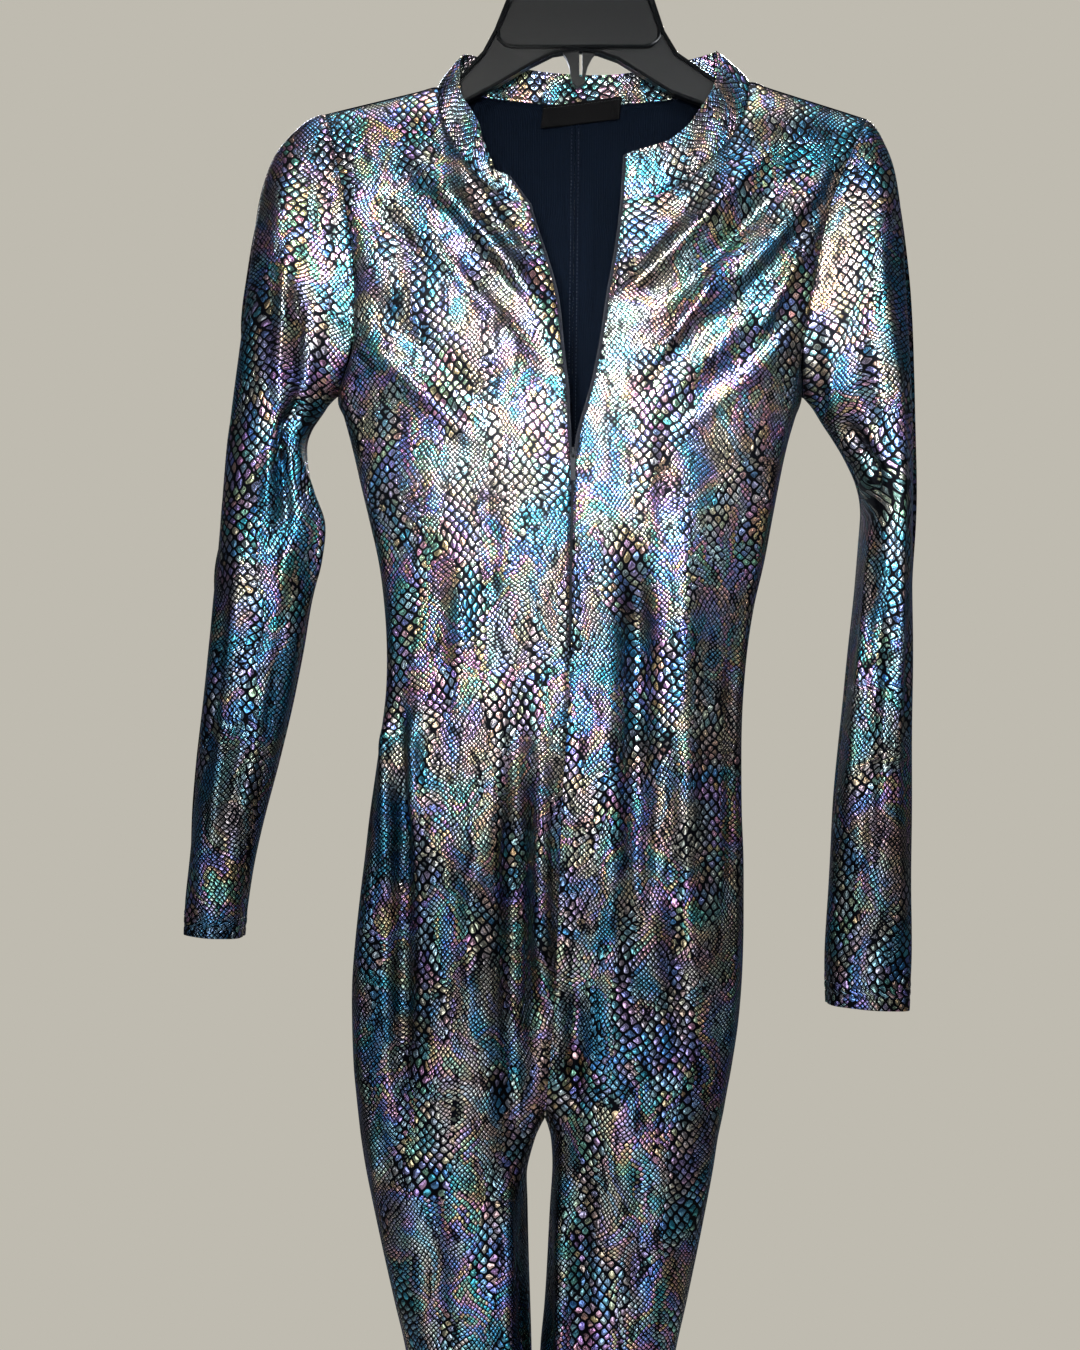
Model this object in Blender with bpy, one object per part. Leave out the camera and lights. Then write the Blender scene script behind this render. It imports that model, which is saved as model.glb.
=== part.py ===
"""A long-sleeved zip-front unitard hanging on a one-piece plastic clothes hanger.

Origin: the inside top of the hanger's hook. +Z is up, the garment's front faces -Y,
and the wearer's left is +X. All sizes below are in millimetres; MM turns them to metres.
"""
import math

import bmesh
import bpy
import numpy as np
from mathutils import Vector

MM = 0.001

# Driving sizes
CLOTH_WALL = 1.2        # foil stretch knit
COLLAR_WALL = 1.6       # two layers of the same cloth
SEAM_GAP = 0.3          # between the edges of two sewn pieces
LAYER_GAP = 0.3         # between a panel and what lies on it
TAPE_WALL = 1.0
TAPE_BEHIND = 2.0       # from the panel's face to the tape, clear of the collar's wall
TAPE_WIDTH = 8.0        # zip tape behind the panel
TAPE_OVERHANG = 2.5     # zip coil past the panel's edge
LABEL_SIZE = (56.0, 16.0, 1.0)
LABEL_TURN = -7.0       # degrees, the label hangs askew
LABEL_MIDDLE = (6.0, 11.9, -180.5)
LABEL_BEND = 0.0011     # it follows the curve of the back neck
UNDERARM_Z = -383.0
OPENING_BOTTOM_Z = -431.0
ZIP_END_Z = -564.0
CROTCH_Z = -886.0
ANKLE_Z = -1600.0
SECTION_POWER = 0.75    # 1 is an ellipse, less is flatter in front
SHOULDER_ROUND = 15.0   # how far the cloth stands off the shoulder seam

# Grid of the panels; a crowding above 1 draws the rows or columns to the shoulder seam
NECK_COLUMNS_FRONT = 8
NECK_COLUMNS_BACK = 5
SHOULDER_COLUMNS = 5
UPPER_ROWS = 10
SLEEVE_ROWS = 20
COLLAR_ROWS = 3
ROW_CROWDING = 1.5
BACK_NECK_CROWDING = 1.3
SLEEVE_CROWDING = 1.15
RELAX_ROUNDS = 4

# Body and legs, from the underarm to the ankle: side seams, centre seam or inseams,
# half depths, and split, which is 0 on the one tube of the trunk and 1 on two legs
BODY_COLUMNS = ("z", "side_r", "in_r", "in_l", "side_l", "front", "back", "split")
BODY = [
    (-383, -164.5, -0.4, -0.4, 160.3, 43, 19, 0.00),
    (-413, -156.1, -0.6, -0.6, 151.2, 43, 20, 0.00),
    (-455, -146.3, -1.0, -1.0, 142.1, 40, 20, 0.00),
    (-497, -136.5, -1.9, -1.9, 134.4, 35, 18, 0.00),
    (-539, -131.6, -2.3, -2.3, 125.3, 30, 16, 0.00),
    (-581, -130.9, -3.0, -3.0, 120.4, 27, 15, 0.00),
    (-623, -135.1, -5.2, -5.2, 118.3, 27, 17, 0.00),
    (-665, -141.4, -8.0, -8.0, 118.3, 29, 21, 0.00),
    (-707, -146.3, -9.4, -9.4, 119.7, 32, 25, 0.00),
    (-749, -151.2, -10.8, -10.8, 119.7, 35, 28, 0.05),
    (-791, -154.7, -12.2, -12.2, 118.3, 36, 30, 0.16),
    (-833, -154.7, -15.6, -15.6, 114.1, 37, 31, 0.38),
    (-865, -152.2, -18.2, -18.2, 108.4, 37, 31, 0.72),
    (-886, -150.0, -19.6, -19.6, 104.5, 37, 31, 1.00),
    (-898, -148.6, -26.0, -15.6, 101.8, 37, 31, 1.00),
    (-920, -145.2, -31.6, -14.2, 98.3, 36, 30, 1.00),
    (-959, -137.2, -30.8, -16.6, 91.0, 36, 30, 1.00),
    (-1001, -128.1, -29.4, -19.4, 82.6, 35, 30, 1.00),
    (-1050, -116.8, -28.4, -23.6, 71.6, 34, 30, 1.00),
    (-1120, -108.5, -28.0, -24.0, 60.6, 31, 29, 1.00),
    (-1220, -102.5, -28.4, -24.6, 51.6, 28, 27, 1.00),
    (-1340, -104.5, -28.8, -25.2, 51.0, 28, 29, 1.00),
    (-1470, -98.5, -29.2, -25.8, 44.0, 25, 26, 1.00),
    (-1600, -92.5, -29.6, -26.4, 37.0, 23, 23, 1.00),
]
OPEN_ROWS = [UNDERARM_Z, -398, -412, -422, -429.5, -432, -445]
ROW_Z = OPEN_ROWS + list(np.linspace(-470, -850, 14)) + [
    -868, -880, CROTCH_Z, -892, -902, -922, -948, -980, -1015, -1050,
    -1100, -1160, -1225, -1300, -1380, -1460, -1535, ANKLE_Z]

# Edges of the front opening below the collar
OPENING_COLUMNS = ("z", "y", "x_r", "x_l")
OPENING = [
    (-250, -30, -31.3, 34.4),
    (-266, -31, -26.5, 32.6),
    (-287, -33, -19.7, 29.5),
    (-315, -36, -12.2, 24.6),
    (-356, -40, -8.1, 18.4),
    (-383, -43, -5.6, 12.8),
    (-410, -43, -4.4, 5.0),
    (-430, -43, -2.0, 0.5),
]

# Neckline and collar, from the front opening round to the centre back.
# run is the share of the way; the seam is on the panel, the top is the collar's free edge
NECK_COLUMNS = ("run", "x", "y", "z", "top_x", "top_y", "top_z")
NECK_R = [
    (0.00, -31.3, -30, -254.2, -46.0, -30, -234.5),
    (0.10, -44.0, -30, -250.2, -57.4, -29, -228.5),
    (0.22, -57.4, -28, -241.4, -62.6, -26, -212.0),
    (0.36, -74.7, -24, -222.5, -66.8, -20, -193.0),
    (0.52, -89.5, -15, -194.0, -78.6, -12, -170.0),
    (0.61, -94.5, -9, -174.0, -79.4, -4, -150.0),
    (0.66, -95.1, -1, -165.8, -79.4, 4, -142.5),
    (0.70, -93.0, 7.5, -166.0, -76.0, 10, -140.0),
    (0.80, -66.0, 11, -169.5, -60.0, 14, -143.0),
    (0.90, -30.0, 14, -173.0, -30.2, 17, -150.0),
    (1.00, 2.0, 15, -174.9, 3.1, 18, -152.5),
]
NECK_L = [
    (0.00, 34.4, -30, -250.4, 36.4, -30, -220.0),
    (0.12, 54.0, -30, -249.0, 51.0, -30, -215.0),
    (0.24, 75.2, -28, -238.6, 66.0, -28, -210.0),
    (0.32, 87.0, -26, -228.6, 79.6, -27, -198.5),
    (0.44, 102.3, -22, -213.0, 91.4, -18, -180.0),
    (0.55, 117.1, -15, -190.6, 100.8, -9, -160.0),
    (0.62, 122.6, -9, -171.5, 101.6, -2, -147.0),
    (0.66, 123.8, -1, -162.3, 101.6, 4, -139.0),
    (0.70, 121.0, 7.5, -163.5, 99.0, 10, -139.0),
    (0.80, 80.0, 10, -170.5, 73.0, 13, -146.0),
    (0.90, 38.4, 14, -173.8, 38.0, 17, -152.0),
    (1.00, 2.0, 15, -174.9, 3.1, 18, -152.5),
]
NECK_POINT_RUN = 0.66   # where the shoulder seam meets the collar

# Armhole seams from the shoulder tip down to the underarm, front and back depth
ARMHOLE_COLUMNS = ("run", "x", "z", "front", "back")
ARMHOLE_R = [
    (0.00, -173.6, -184.6, 0, 0),
    (0.04, -172.2, -190.4, 8.5, 7.0),
    (0.18, -164.8, -217.5, 19, 14),
    (0.36, -157.3, -254.1, 24, 17),
    (0.54, -152.3, -291.0, 26, 19),
    (0.72, -151.6, -324.7, 26, 19),
    (0.88, -154.5, -357.0, 19, 14),
    (1.00, -164.5, -383.0, 0, 0),
]
ARMHOLE_L = [
    (0.00, 205.8, -188.0, 0, 0),
    (0.04, 202.8, -194.0, 8.5, 7.0),
    (0.15, 193.2, -213.7, 18, 13),
    (0.34, 177.1, -254.1, 24, 17),
    (0.52, 168.6, -291.0, 26, 19),
    (0.72, 162.0, -332.6, 25, 18),
    (0.90, 158.0, -366.4, 15, 12),
    (1.00, 160.3, -383.0, 0, 0),
]

# Sleeves from the armhole to the cuff: outer and inner silhouette points of each
# ring, its half depths, and how far its middle stands forward
SLEEVE_COLUMNS = ("run", "out_x", "out_z", "in_x", "in_z", "front", "back", "forward")
SLEEVE_R = [
    (0.00, -173.6, -184.6, -164.5, -383.0, 26, 19, 0),
    (0.05, -189.0, -190.6, -166.6, -385.0, 28, 20, 0),
    (0.10, -203.0, -206.0, -170.0, -388.5, 30, 22, 0),
    (0.16, -215.6, -236.6, -174.0, -393.3, 31, 24, 0),
    (0.21, -222.6, -273.0, -179.0, -400.0, 31, 25, 0),
    (0.26, -228.9, -318.5, -184.0, -409.0, 30, 26, 0),
    (0.31, -233.8, -357.0, -186.5, -421.0, 28, 26, 1),
    (0.36, -238.7, -399.0, -184.5, -438.0, 26, 26, 2),
    (0.41, -242.2, -434.0, -179.9, -455.0, 25, 26, 2),
    (0.46, -245.7, -472.5, -172.2, -477.0, 25, 26, 2),
    (0.54, -249.9, -518.0, -181.3, -518.0, 25, 26, 3),
    (0.64, -256.2, -581.0, -191.8, -581.0, 25, 26, 5),
    (0.75, -261.1, -644.0, -206.5, -644.0, 26, 26, 8),
    (0.87, -266.0, -707.0, -221.2, -707.0, 25, 25, 10),
    (0.95, -268.8, -738.5, -226.8, -739.0, 25, 25, 11),
    (1.00, -269.5, -756.0, -228.9, -758.8, 25, 25, 11),
]
SLEEVE_L = [
    (0.00, 205.8, -188.0, 160.3, -383.0, 26, 19, 0),
    (0.04, 212.1, -194.6, 161.7, -385.0, 28, 20, 0),
    (0.08, 218.4, -205.5, 164.5, -388.0, 30, 22, 0),
    (0.13, 224.0, -225.4, 168.7, -393.0, 31, 24, 0),
    (0.18, 228.2, -252.0, 173.6, -400.0, 32, 26, 0),
    (0.23, 231.0, -290.5, 180.6, -410.5, 33, 28, 0),
    (0.28, 233.8, -336.0, 189.0, -424.5, 33, 30, 0),
    (0.33, 235.2, -378.0, 196.7, -438.5, 34, 32, 0),
    (0.38, 236.6, -416.5, 201.2, -454.0, 34, 34, 0),
    (0.43, 236.6, -462.0, 200.8, -473.0, 34, 34, 1),
    (0.50, 235.9, -518.0, 196.7, -520.0, 34, 33, 2),
    (0.60, 235.9, -581.0, 190.4, -583.0, 32, 31, 4),
    (0.70, 235.2, -644.0, 183.4, -646.0, 29, 28, 6),
    (0.80, 234.5, -707.0, 178.5, -709.0, 26, 25, 8),
    (0.92, 234.5, -770.0, 175.0, -771.0, 23, 22, 10),
    (1.00, 233.1, -809.2, 175.7, -805.0, 21, 20, 11),
]

# Largest folds: a soft ridge (height above 0) or trough along a curve through three
# points of the front view. Columns: x0, z0, x1, z1, x2, z2, height, width
FRONT_FOLDS = [
    (-122, -214, -70, -268, -9, -349, 4.5, 12),
    (-120, -293, -70, -334, -21, -392, 4.0, 12),
    (-148, -343, -104, -384, -50, -431, 2.5, 13),
    (-153, -243, -110, -290, -29, -375, -3.5, 11),
    (-151, -315, -110, -350, -50, -410, -3.0, 11),
    (150, -200, 75, -277, 25, -320, 4.5, 12),
    (190, -212, 155, -258, 31, -382, 4.5, 13),
    (175, -263, 140, -317, 45, -403, 4.0, 12),
    (172, -216, 113, -274, 28, -349, -3.5, 11),
    (178, -248, 127, -301, 38, -390, -3.5, 11),
    (165, -296, 127, -342, 52, -410, -3.0, 11),
    (-118, -636, -116, -760, -117, -889, -6.0, 10),
    (-105, -590, -108, -650, -110, -720, 3.0, 11),
    (-41, -640, -40, -780, -42, -915, -6.5, 12),
    (42, -470, 44, -600, 43, -745, -4.5, 11),
    (-22, -595, -22, -700, -20, -806, 4.0, 10),
    (72, -430, 76, -600, 74, -780, 4.0, 20),
    (2, -772, 1, -830, 0, -880, -4.0, 10),
    (-52, -910, -48, -980, -46, -1060, 3.0, 9),
    (-6, -905, -7, -980, -8, -1060, 3.0, 7),
    (-100, -905, -94, -980, -90, -1050, -3.0, 9),
    (45, -900, 44, -960, 42, -1020, -3.0, 9),
]
BACK_FOLDS = [
    (-125, -215, -75, -290, -20, -380, 3.5, 13),
    (-148, -330, -100, -390, -30, -450, -3.0, 13),
    (160, -215, 95, -290, 20, -390, 3.5, 13),
    (165, -320, 110, -380, 30, -450, -3.0, 13),
    (-70, -520, -78, -660, -72, -800, -4.5, 13),
    (58, -540, 62, -660, 58, -790, -4.5, 13),
    (0, -500, -5, -600, -8, -700, 3.5, 14),
    (-95, -800, -90, -860, -60, -900, 3.5, 12),
    (60, -800, 55, -860, 20, -900, 3.5, 12),
]

# Sleeve folds: place along (run) and around (turn, 0 outer, 0.25 front, 0.5 inner).
# Columns: run0, turn0, run1, turn1, height, width
SLEEVE_FOLDS_R = [
    (0.20, 0.40, 0.52, 0.26, -5.0, 9),
    (0.12, 0.24, 0.34, 0.36, 3.0, 9),
    (0.50, 0.30, 0.80, 0.36, -2.5, 9),
]
SLEEVE_FOLDS_L = [
    (0.22, 0.44, 0.40, 0.34, -4.0, 8),
    (0.15, 0.26, 0.50, 0.22, 3.0, 10),
    (0.45, 0.36, 0.80, 0.30, -2.5, 9),
]

# Hanger: half depth of its ribs and web, rib width, and its outline in the front view
RIB_HALF = 4.5
WEB_HALF = 1.4
RIB_WIDTH = 2.0
HANGER_MIDDLE = 3.0
ARM_TOP_R = [(-25, -62), (-37, -86), (-47, -107), (-55, -127), (-63, -142), (-72, -151.5),
             (-83, -163.5), (-97, -176), (-135, -184), (-172, -192.5), (-184, -198)]
ARM_END_R = [(-190, -203), (-191, -210), (-186, -215)]
ARM_LOW_R = [(-170, -212), (-130, -201), (-97, -189), (-74, -177), (-51, -164.5),
             (-30, -152), (-14, -144)]
ARM_LOW_L = [(17, -143), (31, -148), (48, -158.5), (68, -171), (92, -180),
             (130, -193), (170, -207), (196, -217)]
ARM_END_L = [(206, -219), (210, -213), (208, -206)]
ARM_TOP_L = [(200, -199), (165, -188.5), (126, -177), (106, -166), (87, -152.5),
             (73, -143), (64, -128), (57, -107), (48, -86), (33, -62)]
PLATE = [(-23.5, -63.5), (31.5, -63.5), (46.5, -87), (55, -107), (61.5, -126), (61, -133),
         (56, -138), (50, -139.5), (-42, -139.5), (-48, -138), (-53, -133), (-53.5, -126),
         (-45.5, -107), (-35.5, -86)]
POST = [(-9.5, -140), (-5, -146), (-2.5, -152), (-1.5, -160), (-0.5, -164), (3, -167),
        (8.5, -163.5), (9, -157), (10.5, -151), (13, -146), (17.5, -140), (6.4, -140),
        (6.4, -160), (4.4, -160), (4.4, -140)]
HOOK_RADIUS = 24.0
HOOK_ROD = 4.0

# Zip slider and pull tab
PULL_SIZE = (3.4, 19.0, 1.0)
PULL_BAR = 1.0
ARCH_WIDTH = 1.2
ARCH_CLEAR = 0.95       # from the pull's axis to the arch
ARCH_LEG = 0.9
ARCH_SIDE_GAP = 0.4     # from the arch to each tape, and to each side of the pull's slot
AXIS_AHEAD = 1.3        # pull's axis in front of the cloth
AXIS_Z = -427.0
SLIDER_SIZE = (6.0, 2.4, 9.0)

COLOURS = {
    "cloth": (0.20, 0.27, 0.33, 0.75, 0.30),
    "tape": (0.01, 0.012, 0.025, 0.0, 0.80),
    "label": (0.006, 0.006, 0.008, 0.0, 0.70),
    "zip_metal": (0.03, 0.035, 0.05, 0.6, 0.35),
    "hanger_plastic": (0.02, 0.021, 0.022, 0.0, 0.35),
}


def column(table, names, wanted):
    """One named column of a table as an array."""
    return np.array([row[names.index(wanted)] for row in table], dtype=float)


def smooth_at(place, places, values):
    """Smooth curve through the given values, read at one place."""
    if places[0] > places[-1]:
        places, values = places[::-1], values[::-1]
    slopes = np.gradient(values, places)
    k = int(np.clip(np.searchsorted(places, place) - 1, 0, len(places) - 2))
    step = places[k + 1] - places[k]
    s = min(max((place - places[k]) / step, 0.0), 1.0)
    rise = values[k + 1] - values[k]
    low, high = slopes[k] * step, slopes[k + 1] * step
    if rise == 0.0:
        low = high = 0.0
    return (values[k] + s * low + s * s * (3 * rise - 2 * low - high)
            + s * s * s * (low + high - 2 * rise))


def read(table, names, wanted, place):
    """A column of a table read smoothly at a place of its first column."""
    return smooth_at(place, column(table, names, names[0]), column(table, names, wanted))


def read_straight(table, names, wanted, z):
    """A column of a table whose first column is a height, read along straight lines."""
    return float(np.interp(-z, -column(table, names, names[0]), column(table, names, wanted)))


def ramp(value, start, end):
    """Soft step from 0 at start to 1 at end."""
    s = min(max((value - start) / (end - start), 0.0), 1.0)
    return s * s * (3 - 2 * s)


def fold_height(folds, x, z):
    """Sum of the soft ridges and troughs at a point of the front view."""
    total = 0.0
    for x0, z0, x1, z1, x2, z2, height, width in folds:
        if not min(z0, z1, z2) - 60 < z < max(z0, z1, z2) + 60:
            continue
        near, along = 1e9, 0.0
        for s in np.linspace(0, 1, 25):
            a, b, c = (1 - s) * (1 - 2 * s), 4 * s * (1 - s), s * (2 * s - 1)
            gap = math.hypot(a * x0 + b * x1 + c * x2 - x, a * z0 + b * z1 + c * z2 - z)
            if gap < near:
                near, along = gap, s
        ends = ramp(along, 0, 0.25) * ramp(1 - along, 0, 0.25)
        total += height * ends * math.exp(-(near / width) ** 2)
    return total


def inner_edge(side, face, z):
    """The panel's edge at the centre: opening, centre seam or inseam."""
    if face == "front" and z > OPENING_BOTTOM_Z:
        return read(OPENING, OPENING_COLUMNS, "x_" + side, z)
    return read_straight(BODY, BODY_COLUMNS, "in_" + side, z)


def body_point(side, face, u, z):
    """A point of the trunk or leg; u is 0 at the centre seam or inseam, 1 at the side."""
    inner = inner_edge(side, face, z)
    outer = read(BODY, BODY_COLUMNS, "side_" + side, z)
    split = read_straight(BODY, BODY_COLUMNS, "split", z)
    depth = read(BODY, BODY_COLUMNS, face, z)
    half = (outer - inner) / (1 + split)
    middle = outer - half
    start = math.acos(-split)
    even = math.acos(min(max(-split + (1 + split) * u, -1.0), 1.0))
    angle = 0.5 * (start * (1 - u) + even)
    x = middle + half * math.cos(angle)
    y = depth * max(math.sin(angle), 0.0) ** SECTION_POWER
    if face == "front":
        y = -y
    folds = FRONT_FOLDS if face == "front" else BACK_FOLDS
    height = fold_height(folds, x, z) * ramp(1 - u, 0, 0.2)
    height *= 1 - split * ramp(0.12 - u, 0, 0.12)
    return Vector((x, y - height if face == "front" else y + height, z))


def neck_point(side, run, top=False):
    """A point of the neckline seam, or of the collar's free edge over it."""
    table = NECK_R if side == "r" else NECK_L
    names = ("top_x", "top_y", "top_z") if top else ("x", "y", "z")
    return Vector([read(table, NECK_COLUMNS, name, run) for name in names])


def back_neck_run(i):
    """Column i of the back neckline, counted from the centre back, closer at the side."""
    share = (1 - i / NECK_COLUMNS_BACK) ** BACK_NECK_CROWDING
    return NECK_POINT_RUN + (1 - NECK_POINT_RUN) * share


def armhole_point(side, face, run):
    table = ARMHOLE_R if side == "r" else ARMHOLE_L
    depth = read(table, ARMHOLE_COLUMNS, face, run)
    return Vector((read(table, ARMHOLE_COLUMNS, "x", run),
                   -depth if face == "front" else depth,
                   read(table, ARMHOLE_COLUMNS, "z", run)))


def top_point(side, face, i):
    """Column i of a panel's top edge: neckline, then shoulder seam."""
    neck_columns = NECK_COLUMNS_FRONT if face == "front" else NECK_COLUMNS_BACK
    if i <= neck_columns:
        share = i / neck_columns
        run = NECK_POINT_RUN * share
        if face == "back":
            run = back_neck_run(i)
        return neck_point(side, run)
    share = (i - neck_columns) / SHOULDER_COLUMNS
    return neck_point(side, NECK_POINT_RUN).lerp(armhole_point(side, face, 0), share)


def centre_edge_point(side, face, run):
    """The panel's centre edge from the collar down to the underarm's height."""
    top = top_point(side, face, 0)
    low = body_point(side, face, 0, UNDERARM_Z)
    z = top.z + (low.z - top.z) * run
    if face == "back":
        return top.lerp(low, run)
    x = read(OPENING, OPENING_COLUMNS, "x_" + side, z)
    y = read(OPENING, OPENING_COLUMNS, "y", z)
    start = Vector((read(OPENING, OPENING_COLUMNS, "x_" + side, top.z),
                    read(OPENING, OPENING_COLUMNS, "y", top.z), top.z))
    return Vector((x, y, z)) + (top - start) * (1 - run)


def row_run(j):
    """Rows crowd together towards the shoulder seam."""
    return (j / UPPER_ROWS) ** ROW_CROWDING


def upper_point(side, face, i, j, columns):
    """A point between the neckline, shoulder, armhole, opening and underarm's height."""
    u, v = i / columns, row_run(j)
    top, low = top_point(side, face, i), body_point(side, face, u, UNDERARM_Z)
    left, right = centre_edge_point(side, face, v), armhole_point(side, face, v)
    left_line = top_point(side, face, 0).lerp(body_point(side, face, 0, UNDERARM_Z), v)
    right_line = armhole_point(side, face, 0).lerp(armhole_point(side, face, 1), v)
    point = top.lerp(low, v) + (left - left_line) * (1 - u) + (right - right_line) * u
    neck_share = (NECK_COLUMNS_FRONT if face == "front" else NECK_COLUMNS_BACK) / columns
    window = ramp(u, 0.45 * neck_share, neck_share) * (1 - u * u * 0.9) * ramp(1 - u, 0, 0.2)
    height = SHOULDER_ROUND * window * 2 * v ** 0.4 * (1 - v) ** 2
    point.y += -height if face == "front" else height
    return point


def relaxed(rows, last_row, rounds):
    """The upper rows with each inner point drawn to the middle of its neighbours."""
    for _ in range(rounds):
        old = [[p.copy() for p in row] for row in rows[:last_row + 2]]
        for j in range(1, last_row + 1):
            for i in range(1, len(rows[j]) - 1):
                around = old[j - 1][i] + old[j + 1][i] + old[j][i - 1] + old[j][i + 1]
                rows[j][i] = old[j][i].lerp(around / 4, 0.5)
    return rows


def with_folds(rows, face):
    """The upper rows with the large folds raised, which fade out towards the seams."""
    sign = -1 if face == "front" else 1
    folds = FRONT_FOLDS if face == "front" else BACK_FOLDS
    for j in range(1, UPPER_ROWS):
        v, last = row_run(j), len(rows[j]) - 1
        for i in range(last):
            fade = ramp(v, 0, 0.2) * ramp(1 - i / last, 0, 0.2)
            point = rows[j][i]
            point.y += sign * fade * fold_height(folds, point.x, point.z)
    return rows


def panel_grid(side, face):
    """Rows of outer points of one front or back, from the shoulder to the ankle."""
    columns = SHOULDER_COLUMNS
    columns += NECK_COLUMNS_FRONT if face == "front" else NECK_COLUMNS_BACK
    rows = [[upper_point(side, face, i, j, columns) for i in range(columns + 1)]
            for j in range(UPPER_ROWS)]
    rows += [[body_point(side, face, i / columns, z) for i in range(columns + 1)]
             for z in ROW_Z]
    return with_folds(relaxed(rows, UPPER_ROWS - 1, RELAX_ROUNDS), face)


def sleeve_grid(side):
    """Rings of outer points of a sleeve; a ring starts and ends at the underarm seam."""
    table = SLEEVE_R if side == "r" else SLEEVE_L
    folds = SLEEVE_FOLDS_R if side == "r" else SLEEVE_FOLDS_L

    def at(name, run):
        return read(table, SLEEVE_COLUMNS, name, run)

    rings = []
    for j in range(SLEEVE_ROWS + 1):
        run = (j / SLEEVE_ROWS) ** SLEEVE_CROWDING
        outer = Vector((at("out_x", run), 0, at("out_z", run)))
        inner = Vector((at("in_x", run), 0, at("in_z", run)))
        outer.y = inner.y = -at("forward", run)
        ring = []
        for i in range(2 * UPPER_ROWS + 1):
            face = "front" if i <= UPPER_ROWS else "back"
            k = UPPER_ROWS - i if i <= UPPER_ROWS else i - UPPER_ROWS
            seam = armhole_point(side, face, row_run(k))
            angle = math.pi * (0.5 * row_run(k) + 0.5 * k / UPPER_ROWS)
            share = 0.5 - 0.5 * math.cos(angle)
            point = outer.lerp(inner, share)
            depth = at(face, run) * math.sin(angle) ** 0.85
            point.y += -depth if face == "front" else depth
            turn = 0.5 * angle / math.pi
            for run0, turn0, run1, turn1, height, width in folds:
                if face == "back" or not run0 < run < run1:
                    continue
                along = (run - run0) / (run1 - run0)
                off = (turn - turn0 - (turn1 - turn0) * along) * 2 * math.pi * 30
                bump = height * math.exp(-(off / width) ** 2) * ramp(0.5 - turn, 0, 0.06)
                point.y -= bump * ramp(along, 0, 0.3) * ramp(1 - along, 0, 0.3)
            ring.append(seam.lerp(point, ramp(run, -0.02, 0.12)) if run > 0 else seam)
        rings.append(ring)
    return rings


def collar_grid():
    """Rows from the neckline seam up; columns run from one front edge round the back."""
    stations = []
    for side in ("r", "l"):
        run = [NECK_POINT_RUN * i / NECK_COLUMNS_FRONT for i in range(NECK_COLUMNS_FRONT)]
        run += [back_neck_run(i) for i in range(NECK_COLUMNS_BACK, -1, -1)]
        ends = [(neck_point(side, r), neck_point(side, r, True)) for r in run]
        stations += ends if side == "r" else ends[::-1][1:]
    return [[low.lerp(top, j / COLLAR_ROWS) for low, top in stations]
            for j in range(COLLAR_ROWS + 1)]


def place_key(point):
    return tuple(round(c, 2) + 0.0 for c in point)


def seam_normals(grids):
    """Outward directions of all panels, shared along their seams."""
    shared, own = {}, {}
    tubes = {name: name.replace("front_", "").replace("back_", "") for name in grids}
    for name, (rows, flip) in grids.items():
        for upper, lower in zip(rows, rows[1:]):
            for i in range(len(upper) - 1):
                corners = [upper[i], lower[i], lower[i + 1], upper[i + 1]]
                normal = (corners[2] - corners[0]).cross(corners[3] - corners[1]).normalized()
                normal = -normal if flip else normal
                for corner in corners:
                    key = place_key(corner)
                    shared[key] = shared.get(key, Vector()) + normal
                    tube = (tubes[name], key)
                    own[tube] = own.get(tube, Vector()) + normal
    crotch = Vector((read_straight(BODY, BODY_COLUMNS, "in_r", CROTCH_Z), 0, CROTCH_Z))
    for cusp in (crotch, armhole_point("r", "front", 1), armhole_point("l", "front", 1)):
        shared.pop(place_key(cusp), None)

    def outward(name, point):
        key = place_key(point)
        if key in shared:
            return shared[key].normalized()
        return (own[tubes[name], key].normalized() + Vector((0, 0, -1))).normalized()

    return {name: [[outward(name, p) for p in row] for row in rows]
            for name, (rows, flip) in grids.items()}


def pulled_in(rows, trunk):
    """The grid with its edges drawn back by half the seam gap, sideways at a centre seam."""
    drawn = [[p.copy() for p in row] for row in rows]
    last_row, last = len(rows) - 1, len(rows[0]) - 1
    half = SEAM_GAP / 2
    for j, row in enumerate(rows):
        for i, point in enumerate(row):
            if trunk and i == 0 and point.z > CROTCH_Z - 1:
                drawn[j][i].x += math.copysign(half, row[last].x - point.x)
            if i == last or i == 0 and not (trunk and point.z > CROTCH_Z + 1):
                drawn[j][i] += (row[1 if i == 0 else last - 1] - point).normalized() * half
            if j in (0, last_row):
                towards = rows[1 if j == 0 else last_row - 1][i] - point
                drawn[j][i] += towards.normalized() * half
    return drawn


def add_material(obj, kind):
    red, green, blue, metallic, roughness = COLOURS[kind]
    material = bpy.data.materials.get(kind) or bpy.data.materials.new(kind)
    material.use_nodes = True
    shader = material.node_tree.nodes["Principled BSDF"]
    shader.inputs["Base Color"].default_value = (red, green, blue, 1)
    shader.inputs["Metallic"].default_value = metallic
    shader.inputs["Roughness"].default_value = roughness
    obj.data.materials.append(material)


def add_object(name, bm, kind):
    bmesh.ops.recalc_face_normals(bm, faces=bm.faces)
    mesh = bpy.data.meshes.new(name)
    bm.to_mesh(mesh)
    bm.free()
    mesh.shade_smooth()
    mesh.set_sharp_from_angle(angle=math.radians(50))
    obj = bpy.data.objects.new(name, mesh)
    bpy.context.collection.objects.link(obj)
    add_material(obj, kind)
    return obj


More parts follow.
